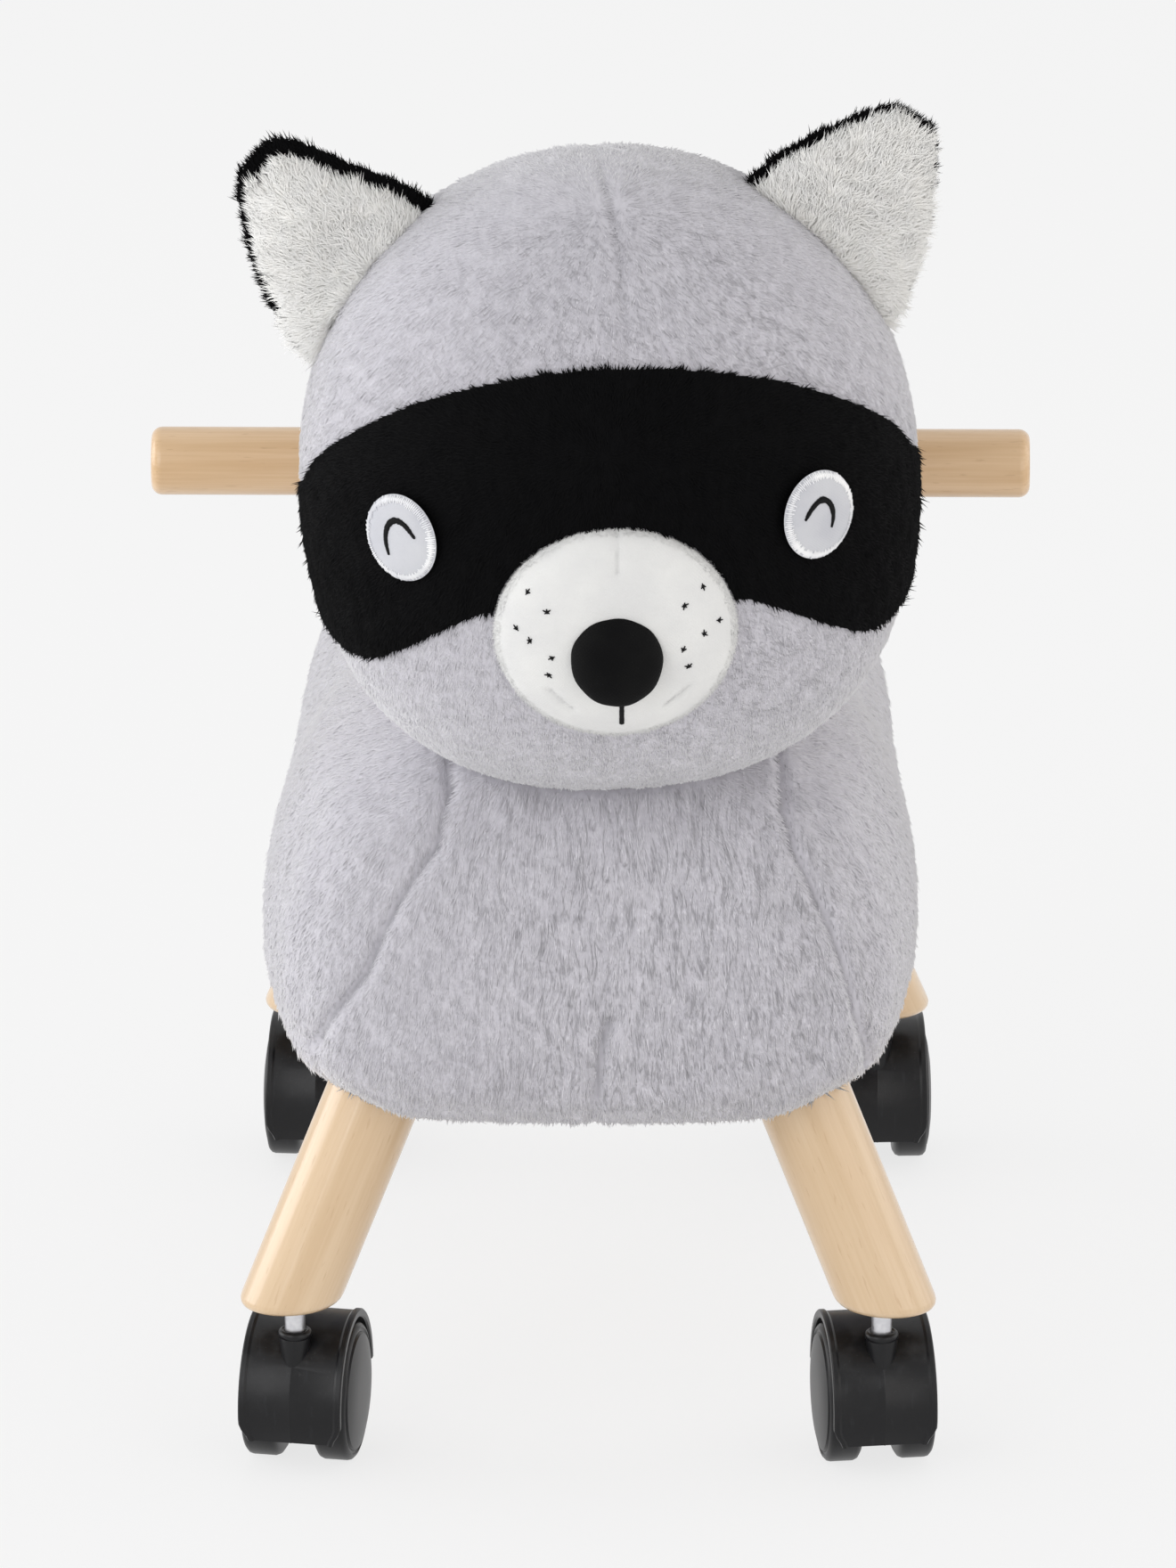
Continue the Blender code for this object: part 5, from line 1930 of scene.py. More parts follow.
@dataclass
class Mask:
    """The black mask sewn round the eyes.

    Attributes:
        form: The head's form.
        muzzle: The muzzle that closes it below.
        thickness: How far it stands off the head.
        setback: How far before the head's middle it ends.
    """

    form: HeadForm
    muzzle: Muzzle
    thickness: float = 0.0016
    setback: float = 0.016

    # Half its outline from the front, as shares of the head's half width and height
    outline_shares = (
        (0.00, 0.572), (0.19, 0.562), (0.34, 0.535), (0.53, 0.480), (0.66, 0.420),
        (0.78, 0.345), (0.88, 0.260), (0.95, 0.165), (0.985, 0.070), (1.03, -0.010),
        (1.12, -0.060), (1.12, -0.280), (0.99, -0.330), (0.955, -0.385), (0.885, -0.415),
        (0.80, -0.405), (0.72, -0.350), (0.60, -0.270), (0.50, -0.205), (0.38, -0.150),
        (0.24, -0.200),
    )

    def outline(self) -> Points:
        """Return the whole outline, across and up, with its corners eased."""
        half = [(x * self.form.half[0], z * self.form.half[2]) for x, z in self.outline_shares]
        loop = np.array(half + [(-x, z) for x, z in reversed(half[1:])])
        for _ in range(2):
            loop = eased(loop, np.roll(loop, -1, 0))
        return loop

    def covers(self, local: Points, margin: float) -> Points:
        """Say which places in the head's axes the mask covers.

        Args:
            local: The places.
            margin: How much smaller the mask is taken, if below zero.

        Returns:
            True for each covered place.
        """
        loop = self.outline() * (1 + margin / 0.08)
        x, z = local[:, 0], local[:, 2]
        inside = np.zeros(len(local), bool)
        for (x1, z1), (x2, z2) in zip(loop, np.roll(loop, -1, 0)):
            over = (z1 > z) != (z2 > z)
            step = (x2 - x1) * (z - z1) / (z2 - z1 if z2 != z1 else 1e-12) + x1
            inside ^= over & (x < step)
        return inside & (local[:, 1] < -self.setback + margin)

    def build(self) -> Piece:
        """Build the mask and dress it.

        Returns:
            The mask.
        """
        mask = self.form.ball("black_mask", self.thickness)
        cut(mask, self.form.ball("inner_tool", 0.0004))
        outline = [(x, -0.3, z) for x, z in self.outline()]
        tool = prism("outline_tool", outline, (0, 0.3 - self.setback, 0))
        cut(mask, transform(tool, self.form.place()), "INTERSECT")
        cut(mask, self.muzzle.ball("muzzle_tool", 0.0004))
        remeshed(mask, 0.0016, 5)
        return settle(smooth(mask), BLACK_PLUSH, "mask_patch")

    def fur(self, mask: Piece) -> Piece:
        """Grow the mask's pile, which overhangs its edges.

        Args:
            mask: The mask.

        Returns:
            The pile.
        """
        middle = np.array([0.0, -0.09, 0.01])

        def heading(places: Points, up: Points) -> Points:
            """Return a heading out from the mask's middle, and down."""
            local = self.form.local(places) - middle
            spread = local * np.array([0.6, 0.2, 1.0]) / 0.05
            spread[:, 2] -= 0.55
            return spread @ self.form.axes().T

        def keep(places: Points, up: Points) -> Points:
            """Say which roots face outwards."""
            out = unit(places - np.array(self.form.centre))
            return (up * out).sum(1) > 0.15

        pile = Pile(1000000, 0.0037, 0.0008, 0.20, 0.26, seed=31)
        return settle(pile.grow("mask_pile", mask, heading, keep), BLACK_PLUSH)


def eased(starts: Points, ends: Points) -> Points:
    """Return the points at a quarter and at three quarters of each step of a line."""
    near, far = starts * 0.75 + ends * 0.25, starts * 0.25 + ends * 0.75
    return np.stack([near, far], 1).reshape(-1, 2)


@dataclass
class Eye:
    """One padded eye disc with its stitched border and its arc.

    Attributes:
        form: The head's form.
        side: Which eye.
        half: Half its width, depth and height.
        bearing: How far it lies from the face's middle.
        rise: How far it lies above the level.
        lean: How far it tips.
        lift: How far the mask lifts it.
        border_share: Where its stitched border runs, as a share of its half width.
    """

    form: HeadForm
    side: Side
    half: Colour = (0.0163, 0.0045, 0.0162)
    bearing: float = math.radians(39.9)
    rise: float = math.radians(3.0)
    lean: float = math.radians(7)
    lift: float = 0.0036
    border_share: float = 0.90

    # Each arc's points in the disc's own axes, as shares of its half width and height
    arc_shares = {
        Side.RIGHT: (
            (-0.27, -0.34), (-0.30, -0.01), (-0.21, 0.27), (-0.06, 0.42), (0.11, 0.46),
            (0.34, 0.35), (0.55, 0.05),
        ),
        Side.LEFT: (
            (-0.53, -0.03), (-0.38, 0.22), (-0.10, 0.42), (0.16, 0.29), (0.27, 0.0),
            (0.22, -0.28),
        ),
    }

    def place(self) -> Matrix:
        """Return the matrix from the disc's own axes to the toy's."""
        bearing, level = self.side.value * self.bearing, math.cos(self.rise)
        way = (math.sin(bearing) * level, -math.cos(bearing) * level, math.sin(self.rise))
        spot = Vector(self.form.reach(np.array([way]), self.lift)[0])
        lean = Matrix.Rotation(self.side.value * self.lean, 4, "Y")
        turn = Matrix.Rotation(bearing, 4, "Z") @ lean
        return self.form.place() @ Matrix.Translation(spot) @ turn

    def build(self) -> list[Piece]:
        """Build the disc with its border and its arc, and dress them.

        Returns:
            The three pieces.
        """
        word = self.side.word
        disc = ball("plush_eye_" + word, 72, 36)
        places = points_of(disc)
        rim = np.hypot(places[:, 0], places[:, 2])
        places[:, 1] = np.sign(places[:, 1]) * (1 - np.clip(rim, 0, 1) ** 3.2) * 0.75
        set_points(disc, places)
        transform(disc, self.place() @ Matrix.Diagonal((*self.half, 1)))
        cut(disc, self.form.ball("head_tool", 0.0035))
        tree = surface_tree(disc)
        ring = [
            (math.cos(angle) * self.border_share, math.sin(angle) * self.border_share)
            for angle in np.linspace(0, math.tau, 97)
        ]
        arc = np.array(self.arc_shares[self.side])
        for _ in range(2):
            arc = np.vstack([arc[:1], eased(arc[:-1], arc[1:]), arc[-1:]])
        border = Stitch(0.0026, 0.0009, 0.5)
        border = border.row("eye_border_" + word, self.on_disc(tree, ring), tree, 0.00078)
        brow = Stitch(0.0023, 0.0007, 0.12, True)
        brow = brow.row("eye_arc_" + word, self.on_disc(tree, arc), tree, 0.0004)
        return [
            settle(smooth(disc, 60), EYE_SATIN, "eye_" + word),
            settle(smooth(border, 60), SILVER_THREAD),
            settle(smooth(brow, 60), BLACK_THREAD),
        ]

    def on_disc(self, tree: BVHTree, shares: Sequence[tuple[float, float]]) -> Points:
        """Return shares of the disc's half width and height as points on its front."""
        line = [(x * self.half[0], z * self.half[2]) for x, z in shares]
        return cast_in(self.place(), tree, line, -0.05)


def resewn(node: str, voxel: float) -> Piece:
    """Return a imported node's shape in even, softened faces of a size."""
    piece = duplicate(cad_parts[node], "plush_" + node)
    with editing(piece):
        bpy.ops.mesh.remove_doubles(threshold=WELD)
    return remeshed(piece, voxel, 5)


@dataclass
class Ear:
    """One ear: a white front set into a black back, both in fur.

    Attributes:
        form: The head's form.
        side: Which ear.
        root: The middle of the ear's root, in the head's axes, for the left ear.
        height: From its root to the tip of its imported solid.
        half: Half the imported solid's width.
        splay: How far it leans outwards.
    """

    form: HeadForm
    side: Side
    root: Colour = (0.081, 0.006, 0.075)
    height: float = 0.068
    half: float = 0.039
    splay: float = math.radians(41)

    # Along the ear from its root: place and half width as shares of its height and half
    # width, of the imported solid
    solid_shares = (
        (-0.28, 1.00), (0.00, 0.99), (0.25, 0.86), (0.50, 0.66), (0.75, 0.42), (0.92, 0.24),
        (1.00, 0.12),
    )
    # The same of its black cloth, with the shares to the outer and to the upper edge
    cloth_shares = {
        Side.RIGHT: (
            (-0.28, 0.97, 0.93), (0.00, 0.98, 0.93), (0.25, 0.91, 0.81), (0.50, 0.73, 0.62),
            (0.75, 0.45, 0.45), (0.85, 0.31, 0.38), (0.91, 0.18, 0.30),
        ),
        Side.LEFT: (
            (-0.28, 0.92, 0.93), (0.00, 0.92, 0.98), (0.25, 0.79, 0.91), (0.50, 0.59, 0.73),
            (0.75, 0.33, 0.51), (0.83, 0.22, 0.43), (0.885, 0.10, 0.35),
        ),
    }
    # How far the white front is set in at its upper and at its outer edge, in metres, what
    # share of the height it reaches, and below which share it reaches the outer edge
    fronts = {
        Side.RIGHT: (0.0062, 0.0046, 0.88, 0.20), Side.LEFT: (0.0040, 0.0016, 0.95, 0.60),
    }

    def axes(self) -> tuple[Points, Points]:
        """Return the ways up the ear and to its outer edge in the head's axes."""
        sign, sine, cosine = self.side.value, math.sin(self.splay), math.cos(self.splay)
        return np.array([sign * sine, 0, cosine]), np.array([sign * cosine, 0, -sine])

    def middle(self) -> Points:
        """Return the middle of the root on this ear's side, in the head's axes."""
        return np.array(self.root) * (self.side.value, 1, 1)

    def spread(self, places: Points) -> tuple[Points, Points, Points]:
        """Return how far places lie along, across and through the ear.

        Args:
            places: Places in the toy's axes.

        Returns:
            The share of the height, the way outwards and the way back.
        """
        local = self.form.local(places) - self.middle()
        up, outward = self.axes()
        return local @ up / self.height, local @ outward, local[:, 1]

    def gather(self, rise: Points, across: Points, depth: Points) -> Points:
        """Return the places in the toy's axes for what `spread` gives."""
        up, outward = self.axes()
        local = np.outer(rise * self.height, up) + np.outer(across, outward)
        local[:, 1] += depth
        return self.form.world(local + self.middle())

    def edge(self, rise: Points, across: Points) -> Points:
        """Return how far the cloth reaches to the edge on whose side each place lies."""
        stops, outer, upper = zip(*self.cloth_shares[self.side])
        reach = (np.interp(rise, stops, shares) for shares in (outer, upper))
        return self.half * np.where(across > 0, *reach)

    def build(self) -> list[Piece]:
        """Build both halves with their fur, and dress them.

        Returns:
            The four pieces.
        """
        pieces = []
        for face, finish, white in (("front", WHITE_FUR, True), ("back", BLACK_PLUSH, False)):
            node = "ear_" + face + "_" + self.side.word
            ear = resewn(node, 0.0022)
            self.fit(ear, white)
            settle(smooth(ear), finish, node)
            pieces += [ear, self.fur(ear, node, finish, white)]
        return pieces

    def fit(self, ear: Piece, white: bool) -> None:
        """Draw a half in to its cloth's outline, and press the front in between its edges.

        Args:
            ear: The half.
            white: True for the front.
        """
        rise, across, depth = self.spread(points_of(ear))
        upper, outer, reach, bare = self.fronts[self.side]
        tip = self.cloth_shares[self.side][-1][0]
        drawn = np.where(rise > 0, rise * tip * (reach if white else 1.0), rise)
        half = self.edge(drawn, across)
        if white:
            outer = outer * ease(drawn, bare - 0.1, bare + 0.05)
            half = half - np.where(across > 0, outer, upper)
            front = ease(-depth, 0.0, 0.009)
            inward = np.exp(-(across ** 2 + (rise * self.height - 0.012) ** 2) / 0.021 ** 2)
            depth = depth + 0.0045 * inward * front * ease(rise, -0.1, 0.2)
        solid = self.half * np.interp(rise, *zip(*self.solid_shares))
        set_points(ear, self.gather(drawn, across * half / solid, depth))

    def fur(self, ear: Piece, node: str, finish: Finish, white: bool) -> Piece:
        """Grow one half's fur, which fans out from the ear's root.

        Args:
            ear: The half.
            node: Its node's name.
            finish: Its finish.
            white: True for the front.

        Returns:
            The fur.
        """
        middle = self.gather(*(np.array([value]) for value in (-0.25, 0.0, 0.0)))[0]
        facing = self.form.axes()[:, 1] * (-1 if white else 1)

        def heading(places: Points, up: Points) -> Points:
            """Return a heading from below the root out to the rim."""
            return places - middle

        def keep(places: Points, up: Points) -> Points:
            """Say which roots show: on the half's own face or at its bare rim."""
            rise, across, _ = self.spread(places)
            outside = self.form.level(places) > 0.985
            if white:
                return outside & (up @ facing > -0.35)
            bare = (across > 0) & (rise < self.fronts[self.side][3])
            rim = ~bare & (self.edge(rise, across) - np.abs(across) < 0.0058)
            tip = rise > self.cloth_shares[self.side][-1][0] - 0.11
            return outside & ((up @ facing > np.where(bare, 0.4, -0.35)) | rim | tip)

        if white:
            seed = 41 + self.side.value
            pile = Pile(2300000, 0.0068, 0.0009, 0.38, 0.42, facets=0.4, seed=seed)
        else:
            pile = Pile(1500000, 0.0048, 0.0008, 0.30, 0.30, seed=45 + self.side.value)
        return settle(pile.grow(node + "_fur", ear, heading, keep), finish)


@dataclass
class Tail:
    """The short ringed tail.

    Attributes:
        length: How long it is.
        rings: Where the dark rings lie, as shares of its length.
    """

    length: float = 0.061
    rings: tuple[tuple[float, float], ...] = ((0.25, 0.50), (0.75, 1.25))

    def build(self) -> list[Piece]:
        """Build the tail with its fur, and dress it.

        Returns:
            The two pieces.
        """
        _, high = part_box("tail")
        start = high.y - self.length
        tail = resewn("tail", 0.003)
        puff(tail, points_of(tail)[:, 1] < start + 0.004, 0.002)
        halved(tail)
        rings = [tuple(start + share * self.length for share in ring) for ring in self.rings]
        finish = RingedPlush(
            "ringed plush", "grey_plush", GREY_PLUSH.colour, GREY_PLUSH.shade, 0.92,
            sheen=0.3, rings=tuple(rings), ring_colour=BLACK_PLUSH.colour,
        )
        settle(smooth(tail), finish, "tail")

        def heading(places: Points, up: Points) -> Points:
            """Return a heading towards the tail's tip."""
            return np.tile((0.0, 1.0, -0.35), (len(places), 1))

        def keep(places: Points, up: Points) -> Points:
            """Say which roots are outside the rump."""
            return places[:, 1] > start + 0.002

        pile = Pile(420000, 0.0062, 0.0010, 0.42, 0.3, seed=61)
        return [tail, settle(pile.grow("tail_pile", tail, heading, keep), finish)]


@dataclass
class Leg:
    """One splayed dowel leg with a level foot, bored for its castor.

    Attributes:
        corner: The leg's corner in a node's name.
        side_x: The sign of its side.
        side_y: The sign of its end, -1 at the front.
        radius: The dowel's radius.
        offset: How far its middle lies outside the castor's stem.
        foot: The height of its lower end.
        track: The distance between the castors' stems across.
        wheelbase: The distance between them along.
        lean_out: How far it leans out for each metre up.
        lean_along: How far it leans along for each metre up.
    """

    corner: str
    side_x: int
    side_y: int
    radius: float = 0.0175
    offset: float = 0.0024
    foot: float = 0.0660943
    track: float = 0.216
    wheelbase: float = 0.323
    lean_out: float = 0.41
    lean_along: float = 0.176

    # The radius and the length of the holes for its sleeve's flange and for the sleeve
    holes = ((0.0083, 0.0026), (0.0058, 0.042))

    @staticmethod
    def all() -> list["Leg"]:
        """Return the four legs."""
        return [
            Leg("front_left", 1, -1), Leg("front_right", -1, -1),
            Leg("rear_left", 1, 1), Leg("rear_right", -1, 1),
        ]

    def axis(self) -> Vector:
        """Return the direction up the leg."""
        lean = (-self.side_x * self.lean_out, -self.side_y * self.lean_along, 1)
        return Vector(lean).normalized()

    def stem_place(self) -> Vector:
        """Return where the castor's stem enters the leg."""
        across, along = self.side_x * self.track / 2, self.side_y * self.wheelbase / 2
        return Vector((across, along, self.foot))

    def dowel(self, name: str, room: float, overrun: float) -> Piece:
        """Return the leg's plain dowel.

        Args:
            name: The object's name.
            room: How much its radius is grown.
            overrun: How far it runs past both ends.

        Returns:
            The new object.
        """
        low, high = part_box("leg_" + self.corner)
        length = (high.z - low.z) / self.axis().z
        foot = self.stem_place() + Vector((self.side_x * self.offset, 0, 0))
        return cylinder(
            name, self.radius + room, length + 2 * overrun, foot + self.axis() * length / 2,
            self.axis().to_track_quat("Z", "Y").to_euler(),
        )

    def build(self) -> Piece:
        """Build the leg and dress it.

        Returns:
            The leg.
        """
        low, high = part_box("leg_" + self.corner)
        leg = self.dowel("wooden_leg_" + self.corner, 0.0, 0.02)
        for height, clear in ((high.z, True), (low.z, False)):
            with editing(leg):
                bpy.ops.mesh.bisect(
                    plane_co=(0, 0, height), plane_no=(0, 0, 1), use_fill=True,
                    clear_outer=clear, clear_inner=not clear,
                )
        rim = low.z + 0.0001
        round_edges(leg, 0.0045, 5, lambda start, end: start.z < rim and end.z < rim)
        for radius, depth in self.holes:
            cut(leg, cylinder("hole_tool", radius, depth, self.stem_place(), sides=48))
        turn = self.axis().to_track_quat("Z", "Y").inverted().to_euler()
        finish = Wood(
            "lacquered beech " + self.corner, "beech", linear(218, 192, 158),
            linear(207, 178, 141), 0.30, turn=tuple(turn), fleck=linear(176, 136, 94), coat=0.6,
        )
        return settle(smooth(leg, 35), finish, "leg_" + self.corner)


@dataclass
class HandleBar:
    """The turned bar through the head.

    Attributes:
        radius: The dowel's radius.
        end_round: The rounding of its ends.
    """

    radius: float = 0.0125
    end_round: float = 0.004

    def dowel(self, name: str, room: float, overrun: float) -> Piece:
        """Return the bar's plain dowel.

        Args:
            name: The object's name.
            room: How much its radius is grown.
            overrun: How far each end runs on.

        Returns:
            The new object.
        """
        low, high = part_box("handle_bar")
        length = high.x - low.x + 2 * overrun
        return cylinder(name, self.radius + room, length, (low + high) / 2, (0, QUARTER, 0))

    def build(self) -> Piece:
        """Build the bar and dress it.

        Returns:
            The bar.
        """
        bar = self.dowel("wooden_handle_bar", 0.0, 0.0)
        low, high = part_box("handle_bar")

        def at_end(start: Vector, end: Vector) -> bool:
            """Say whether an edge lies at one end of the bar."""
            ends = (start.x, end.x)
            return min(ends) > high.x - 0.0001 or max(ends) < low.x + 0.0001

        round_edges(bar, self.end_round, 6, at_end)
        finish = Wood(
            "lacquered beech bar", "beech", linear(218, 186, 147), linear(202, 166, 122), 0.30,
            turn=(0.0, QUARTER, 0.0), fleck=linear(158, 116, 76), coat=0.5,
        )
        return settle(smooth(bar, 35), finish, "handle_bar")


@dataclass
class Castor:
    """A twin-wheel castor, modelled once under its swivel axis and copied.

    Attributes:
        wheel_radius: The wheels' radius.
        wheel_width: Each wheel's width.
        wheel_gap: The room between the two.
        axle_radius: The axle's radius.
        axle_height: The axle's height.
        trail: How far the axle lies behind the stem.
        hood_inner: The inner radius of the hood's arch.
        hood_outer: Its outer radius.
        hood_half: Half the hood's width.
        hub_radius: The inner radius of the web round the axle.
        web_half: Half the web's thickness.
        stem_radius: The stem's radius.
        boss_radius: The radius of the boss round the stem.
        boss_top: The height of its top.
        boss_low: The height of its lower end.
        front_angle: Where the hood ends at the front, from the way back and upwards.
        rear_angle: Where it ends at the rear.
        corner_angle: How much of it at the front is drawn in.
    """

    wheel_radius: float = 0.026
    wheel_width: float = 0.013
    wheel_gap: float = 0.014
    axle_radius: float = 0.0033
    axle_height: float = 0.0257776
    trail: float = 0.0185
    hood_inner: float = 0.0275
    hood_outer: float = 0.0300
    hood_half: float = 0.01925
    hub_radius: float = 0.0085
    web_half: float = 0.006
    stem_radius: float = 0.00375
    boss_radius: float = 0.0059
    boss_top: float = 0.0558943
    boss_low: float = 0.0385
    front_angle: float = math.radians(202.6)
    rear_angle: float = math.radians(5)
    corner_angle: float = math.radians(17)

    # How far each castor is turned at rest, in degrees, in the legs' order
    rest_turns = (8.5, -10.5, 3.0, -4.0)

    @property
    def axle(self) -> Vector:
        """Return the axle's middle."""
        return Vector((0, self.trail, self.axle_height))

    @property
    def wall(self) -> float:
        """Return the radius of the middle of the hood's wall."""
        return (self.hood_inner + self.hood_outer) / 2

    def build(self) -> list[Piece]:
        """Build the four castors and dress them.

        Returns:
            Their pieces.
        """
        hood, stem, wheel = models = self.hood(), self.stem(), self.wheel()
        pieces = []
        for leg, degrees in zip(Leg.all(), self.rest_turns):
            corner, spot = leg.corner, leg.stem_place()
            turn = Matrix.Rotation(math.radians(degrees), 4, "Z")
            swivel = Matrix.Translation((spot.x, spot.y, 0)) @ turn
            for model, kind, finish in (
                (hood, "hood", CASTOR_PLASTIC), (stem, "stem", PLATED_STEEL),
            ):
                piece = transform(duplicate(model, "moulded_" + kind + "_" + corner), swivel)
                node = "castor_" + kind + "_" + corner
                pieces.append(settle(piece, finish, node, "castor_" + corner))
            PLATED_STEEL.dress_node("castor_axle_" + corner)
            for hand, sign in (("a", 1), ("b", -1)):
                out = sign * (self.wheel_gap + self.wheel_width) / 2
                lie = swivel @ Matrix.Translation((out, *self.axle.yz))
                if sign < 0:
                    lie = lie @ Matrix.Rotation(math.pi, 4, "Z")
                node = "wheel_" + corner + "_" + hand
                piece = transform(duplicate(wheel, "moulded_" + node), lie)
                pieces.append(settle(piece, WHEEL_PLASTIC, node, node))
        for model in models:
            discard(model)
        return pieces

    def spun(self, name: str, profile: Sequence[tuple[float, float]], steps: int) -> Piece:
        """Turn a profile of (radius, height) points about Z.

        Args:
            name: The object's name.
            profile: The points, from the axis back to the axis.
            steps: How many faces go round.

        Returns:
            The new object.
        """
        edges = [(index, index + 1) for index in range(len(profile) - 1)]
        piece = shaped(name, [(radius, 0, height) for radius, height in profile], edges)
        with editing(piece):
            bpy.ops.mesh.spin(
                steps=steps, angle=math.tau, center=(0, 0, 0), axis=(0, 0, 1),
                use_normal_flip=False,
            )
            bpy.ops.mesh.select_all(action="SELECT")
            bpy.ops.mesh.remove_doubles(threshold=WELD)
            bpy.ops.mesh.normals_make_consistent(inside=False)
        return piece

    def wheel(self) -> Piece:
        """Return one wheel about X, its disc at +X."""
        half, bore = self.wheel_width / 2, self.axle_radius
        flat = self.wheel_radius * math.cos(math.pi / 24)
        profile = [
            (0, half + 0.0020), (0.008, half + 0.0019), (0.014, half + 0.0016),
            (0.019, half + 0.0009), (0.0215, half + 0.0003), (0.0222, half - 0.0007),
            (0.0232, half - 0.0007), (0.0236, half - 0.0002), (flat - 0.0014, half - 0.0004),
            (flat - 0.0003, half - 0.0014), (flat, half - 0.0026), (flat, 0.0024 - half),
            (flat - 0.0006, 0.0010 - half), (flat - 0.0022, -half), (0.018, -half),
            (0.0172, 0.0012 - half), (0.009, 0.0012 - half), (0.0084, -half), (bore, -half),
            (bore, half - 0.003), (0, half - 0.003),
        ]
        piece = self.spun("wheel_model", profile, 72)
        return smooth(transform(piece, Matrix.Rotation(QUARTER, 4, "Y")), 38)

    def stem(self) -> Piece:
        """Return the necked stem."""
        radius, neck = self.stem_radius, Leg.foot + 0.010
        low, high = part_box("castor_stem_front_left")
        profile = [
            (0, low.z), (radius, low.z), (radius, neck - 0.0022),
            (radius - 0.0007, neck - 0.0015), (radius - 0.0007, neck + 0.0015),
            (radius, neck + 0.0022), (radius, high.z - 0.0012),
            (radius - 0.0004, high.z - 0.0004), (radius - 0.0012, high.z), (0, high.z),
        ]
        return smooth(self.spun("stem_model", profile, 32), 38)

    def hood(self) -> Piece:
        """Return the moulded hood: its arch, web, boss and bores."""
        side, lip = self.hood_half, 0.0007
        outer, edge = self.hood_outer, self.hood_outer + lip
        section = [
            (self.hood_inner, side - 0.0006), (self.hood_inner + 0.0006, side),
            (edge - 0.0005, side), (edge, side - 0.0005), (edge, side - 0.0020),
            (outer, side - 0.0029),
        ]
        ridge = [(outer, 0.0005), (outer + 0.00018, 0.0)]
        loop = section + ridge + [(r, -x) for r, x in reversed(section + ridge[:1])]
        start = Vector((0, math.cos(self.front_angle), math.sin(self.front_angle)))
        places = [self.axle + start * radius + Vector((x, 0, 0)) for radius, x in loop]
        hood = shaped("hood_model", places, faces=[list(range(len(loop)))])
        sweep = self.front_angle - self.rear_angle
        with editing(hood):
            bpy.ops.mesh.spin(steps=44, angle=sweep, center=self.axle, axis=(1, 0, 0))
        self.taper(hood)
        self.close(hood)
        cut(hood, self.web(), "UNION")
        cut(hood, self.boss(), "UNION")
        place = (0, 0, self.axle_height + 0.02)
        cut(hood, cylinder("stem_bore", self.stem_radius + 0.0003, 0.04, place, sides=32))
        cut(hood, cylinder(
            "axle_bore", self.axle_radius, 0.04, self.axle, (0, QUARTER, 0), sides=32,
        ))
        return smooth(hood, 30)

    def taper(self, piece: Piece) -> None:
        """Draw the hood's front corners in, as its rounded lower edge has them."""
        places = points_of(piece)
        angle = np.arctan2(places[:, 2] - self.axle.z, places[:, 1] - self.axle.y) % math.tau
        share = ease(angle, self.front_angle - self.corner_angle, self.front_angle)
        places[:, 0] *= 1 - 0.17 * share ** 1.6
        set_points(piece, places)

    def close(self, piece: Piece) -> None:
        """Close a swept section's start and end, and face all outwards."""
        mesh = bmesh.new()
        mesh.from_mesh(piece.data)
        bmesh.ops.remove_doubles(mesh, verts=mesh.verts[:], dist=WELD / 2)
        bmesh.ops.holes_fill(mesh, edges=mesh.edges[:], sides=0)
        bmesh.ops.recalc_face_normals(mesh, faces=mesh.faces[:])
        mesh.to_mesh(piece.data)
        mesh.free()

    def web(self) -> Piece:
        """Return the web between the wheels, from the hood's wall to the axle."""
        hub = (math.radians(-25), math.radians(-160), 17)
        outline = [
            (-self.web_half, self.axle.y + radius * math.cos(angle),
             self.axle.z + radius * math.sin(angle))
            for radius, arc in (
                (self.wall, (self.front_angle, self.rear_angle, 45)), (self.hub_radius, hub),
            )
            for angle in np.linspace(*arc)
        ]
        return prism("web", outline, (2 * self.web_half, 0, 0))

    def boss(self) -> Piece:
        """Return the boss round the stem with its rolled lip."""
        radius, top = self.boss_radius, self.boss_top
        low, neck = self.boss_low, top - 0.0040
        profile = [
            (0, low), (radius - 0.0022, low), (radius - 0.0014, low + 0.0010),
            (radius - 0.0001, neck),
        ]
        lip = radius - 0.0009, top - 0.0016
        profile += [
            (lip[0] + 0.0013 * math.cos(angle), lip[1] + 0.0016 * math.sin(angle))
            for angle in np.linspace(-math.pi / 3, QUARTER, 7)
        ]
        profile += [(radius - 0.0015, top - 0.0004), (0, top - 0.0004)]
        boss = self.spun("boss", profile, 40)
        places = points_of(boss)
        places[:, 1] *= 1 + 0.45 * np.clip((neck - places[:, 2]) / (neck - low), 0, 1)
        set_points(boss, places)
        cut(boss, cylinder(
            "arch_tool", self.wall, 0.08, self.axle, (0, QUARTER, 0), sides=96,
        ))
        return boss


class InnerFrame:
    """The pieces inside the toy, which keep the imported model's shapes."""

    @staticmethod
    def dress() -> list[str]:
        """Give each of them its finish.

        Returns:
            The names of the nodes that were dressed.
        """
        corners = [leg.corner for leg in Leg.all()]
        groups = (
            (PLYWOOD, ["base_board", "belly_panel", "neck_gusset_left", "neck_gusset_right"]),
            (BEECH_BLANK, ["board_rail_left", "board_rail_right", "neck_post"]),
            (PLATED_STEEL, ["post_bolt", "handle_screw"]),
            (PLATED_STEEL, ["leg_bracket_" + corner for corner in corners]),
            (PLATED_STEEL, ["sleeve_" + corner for corner in corners]),
            (FIBRE_FILL, ["body_stuffing", "head_stuffing"]),
            (SEAT_FOAM, ["seat_foam"]),
        )
        for finish, nodes in groups:
            for node in nodes:
                finish.dress_node(node)
        return [node for _, nodes in groups for node in nodes]


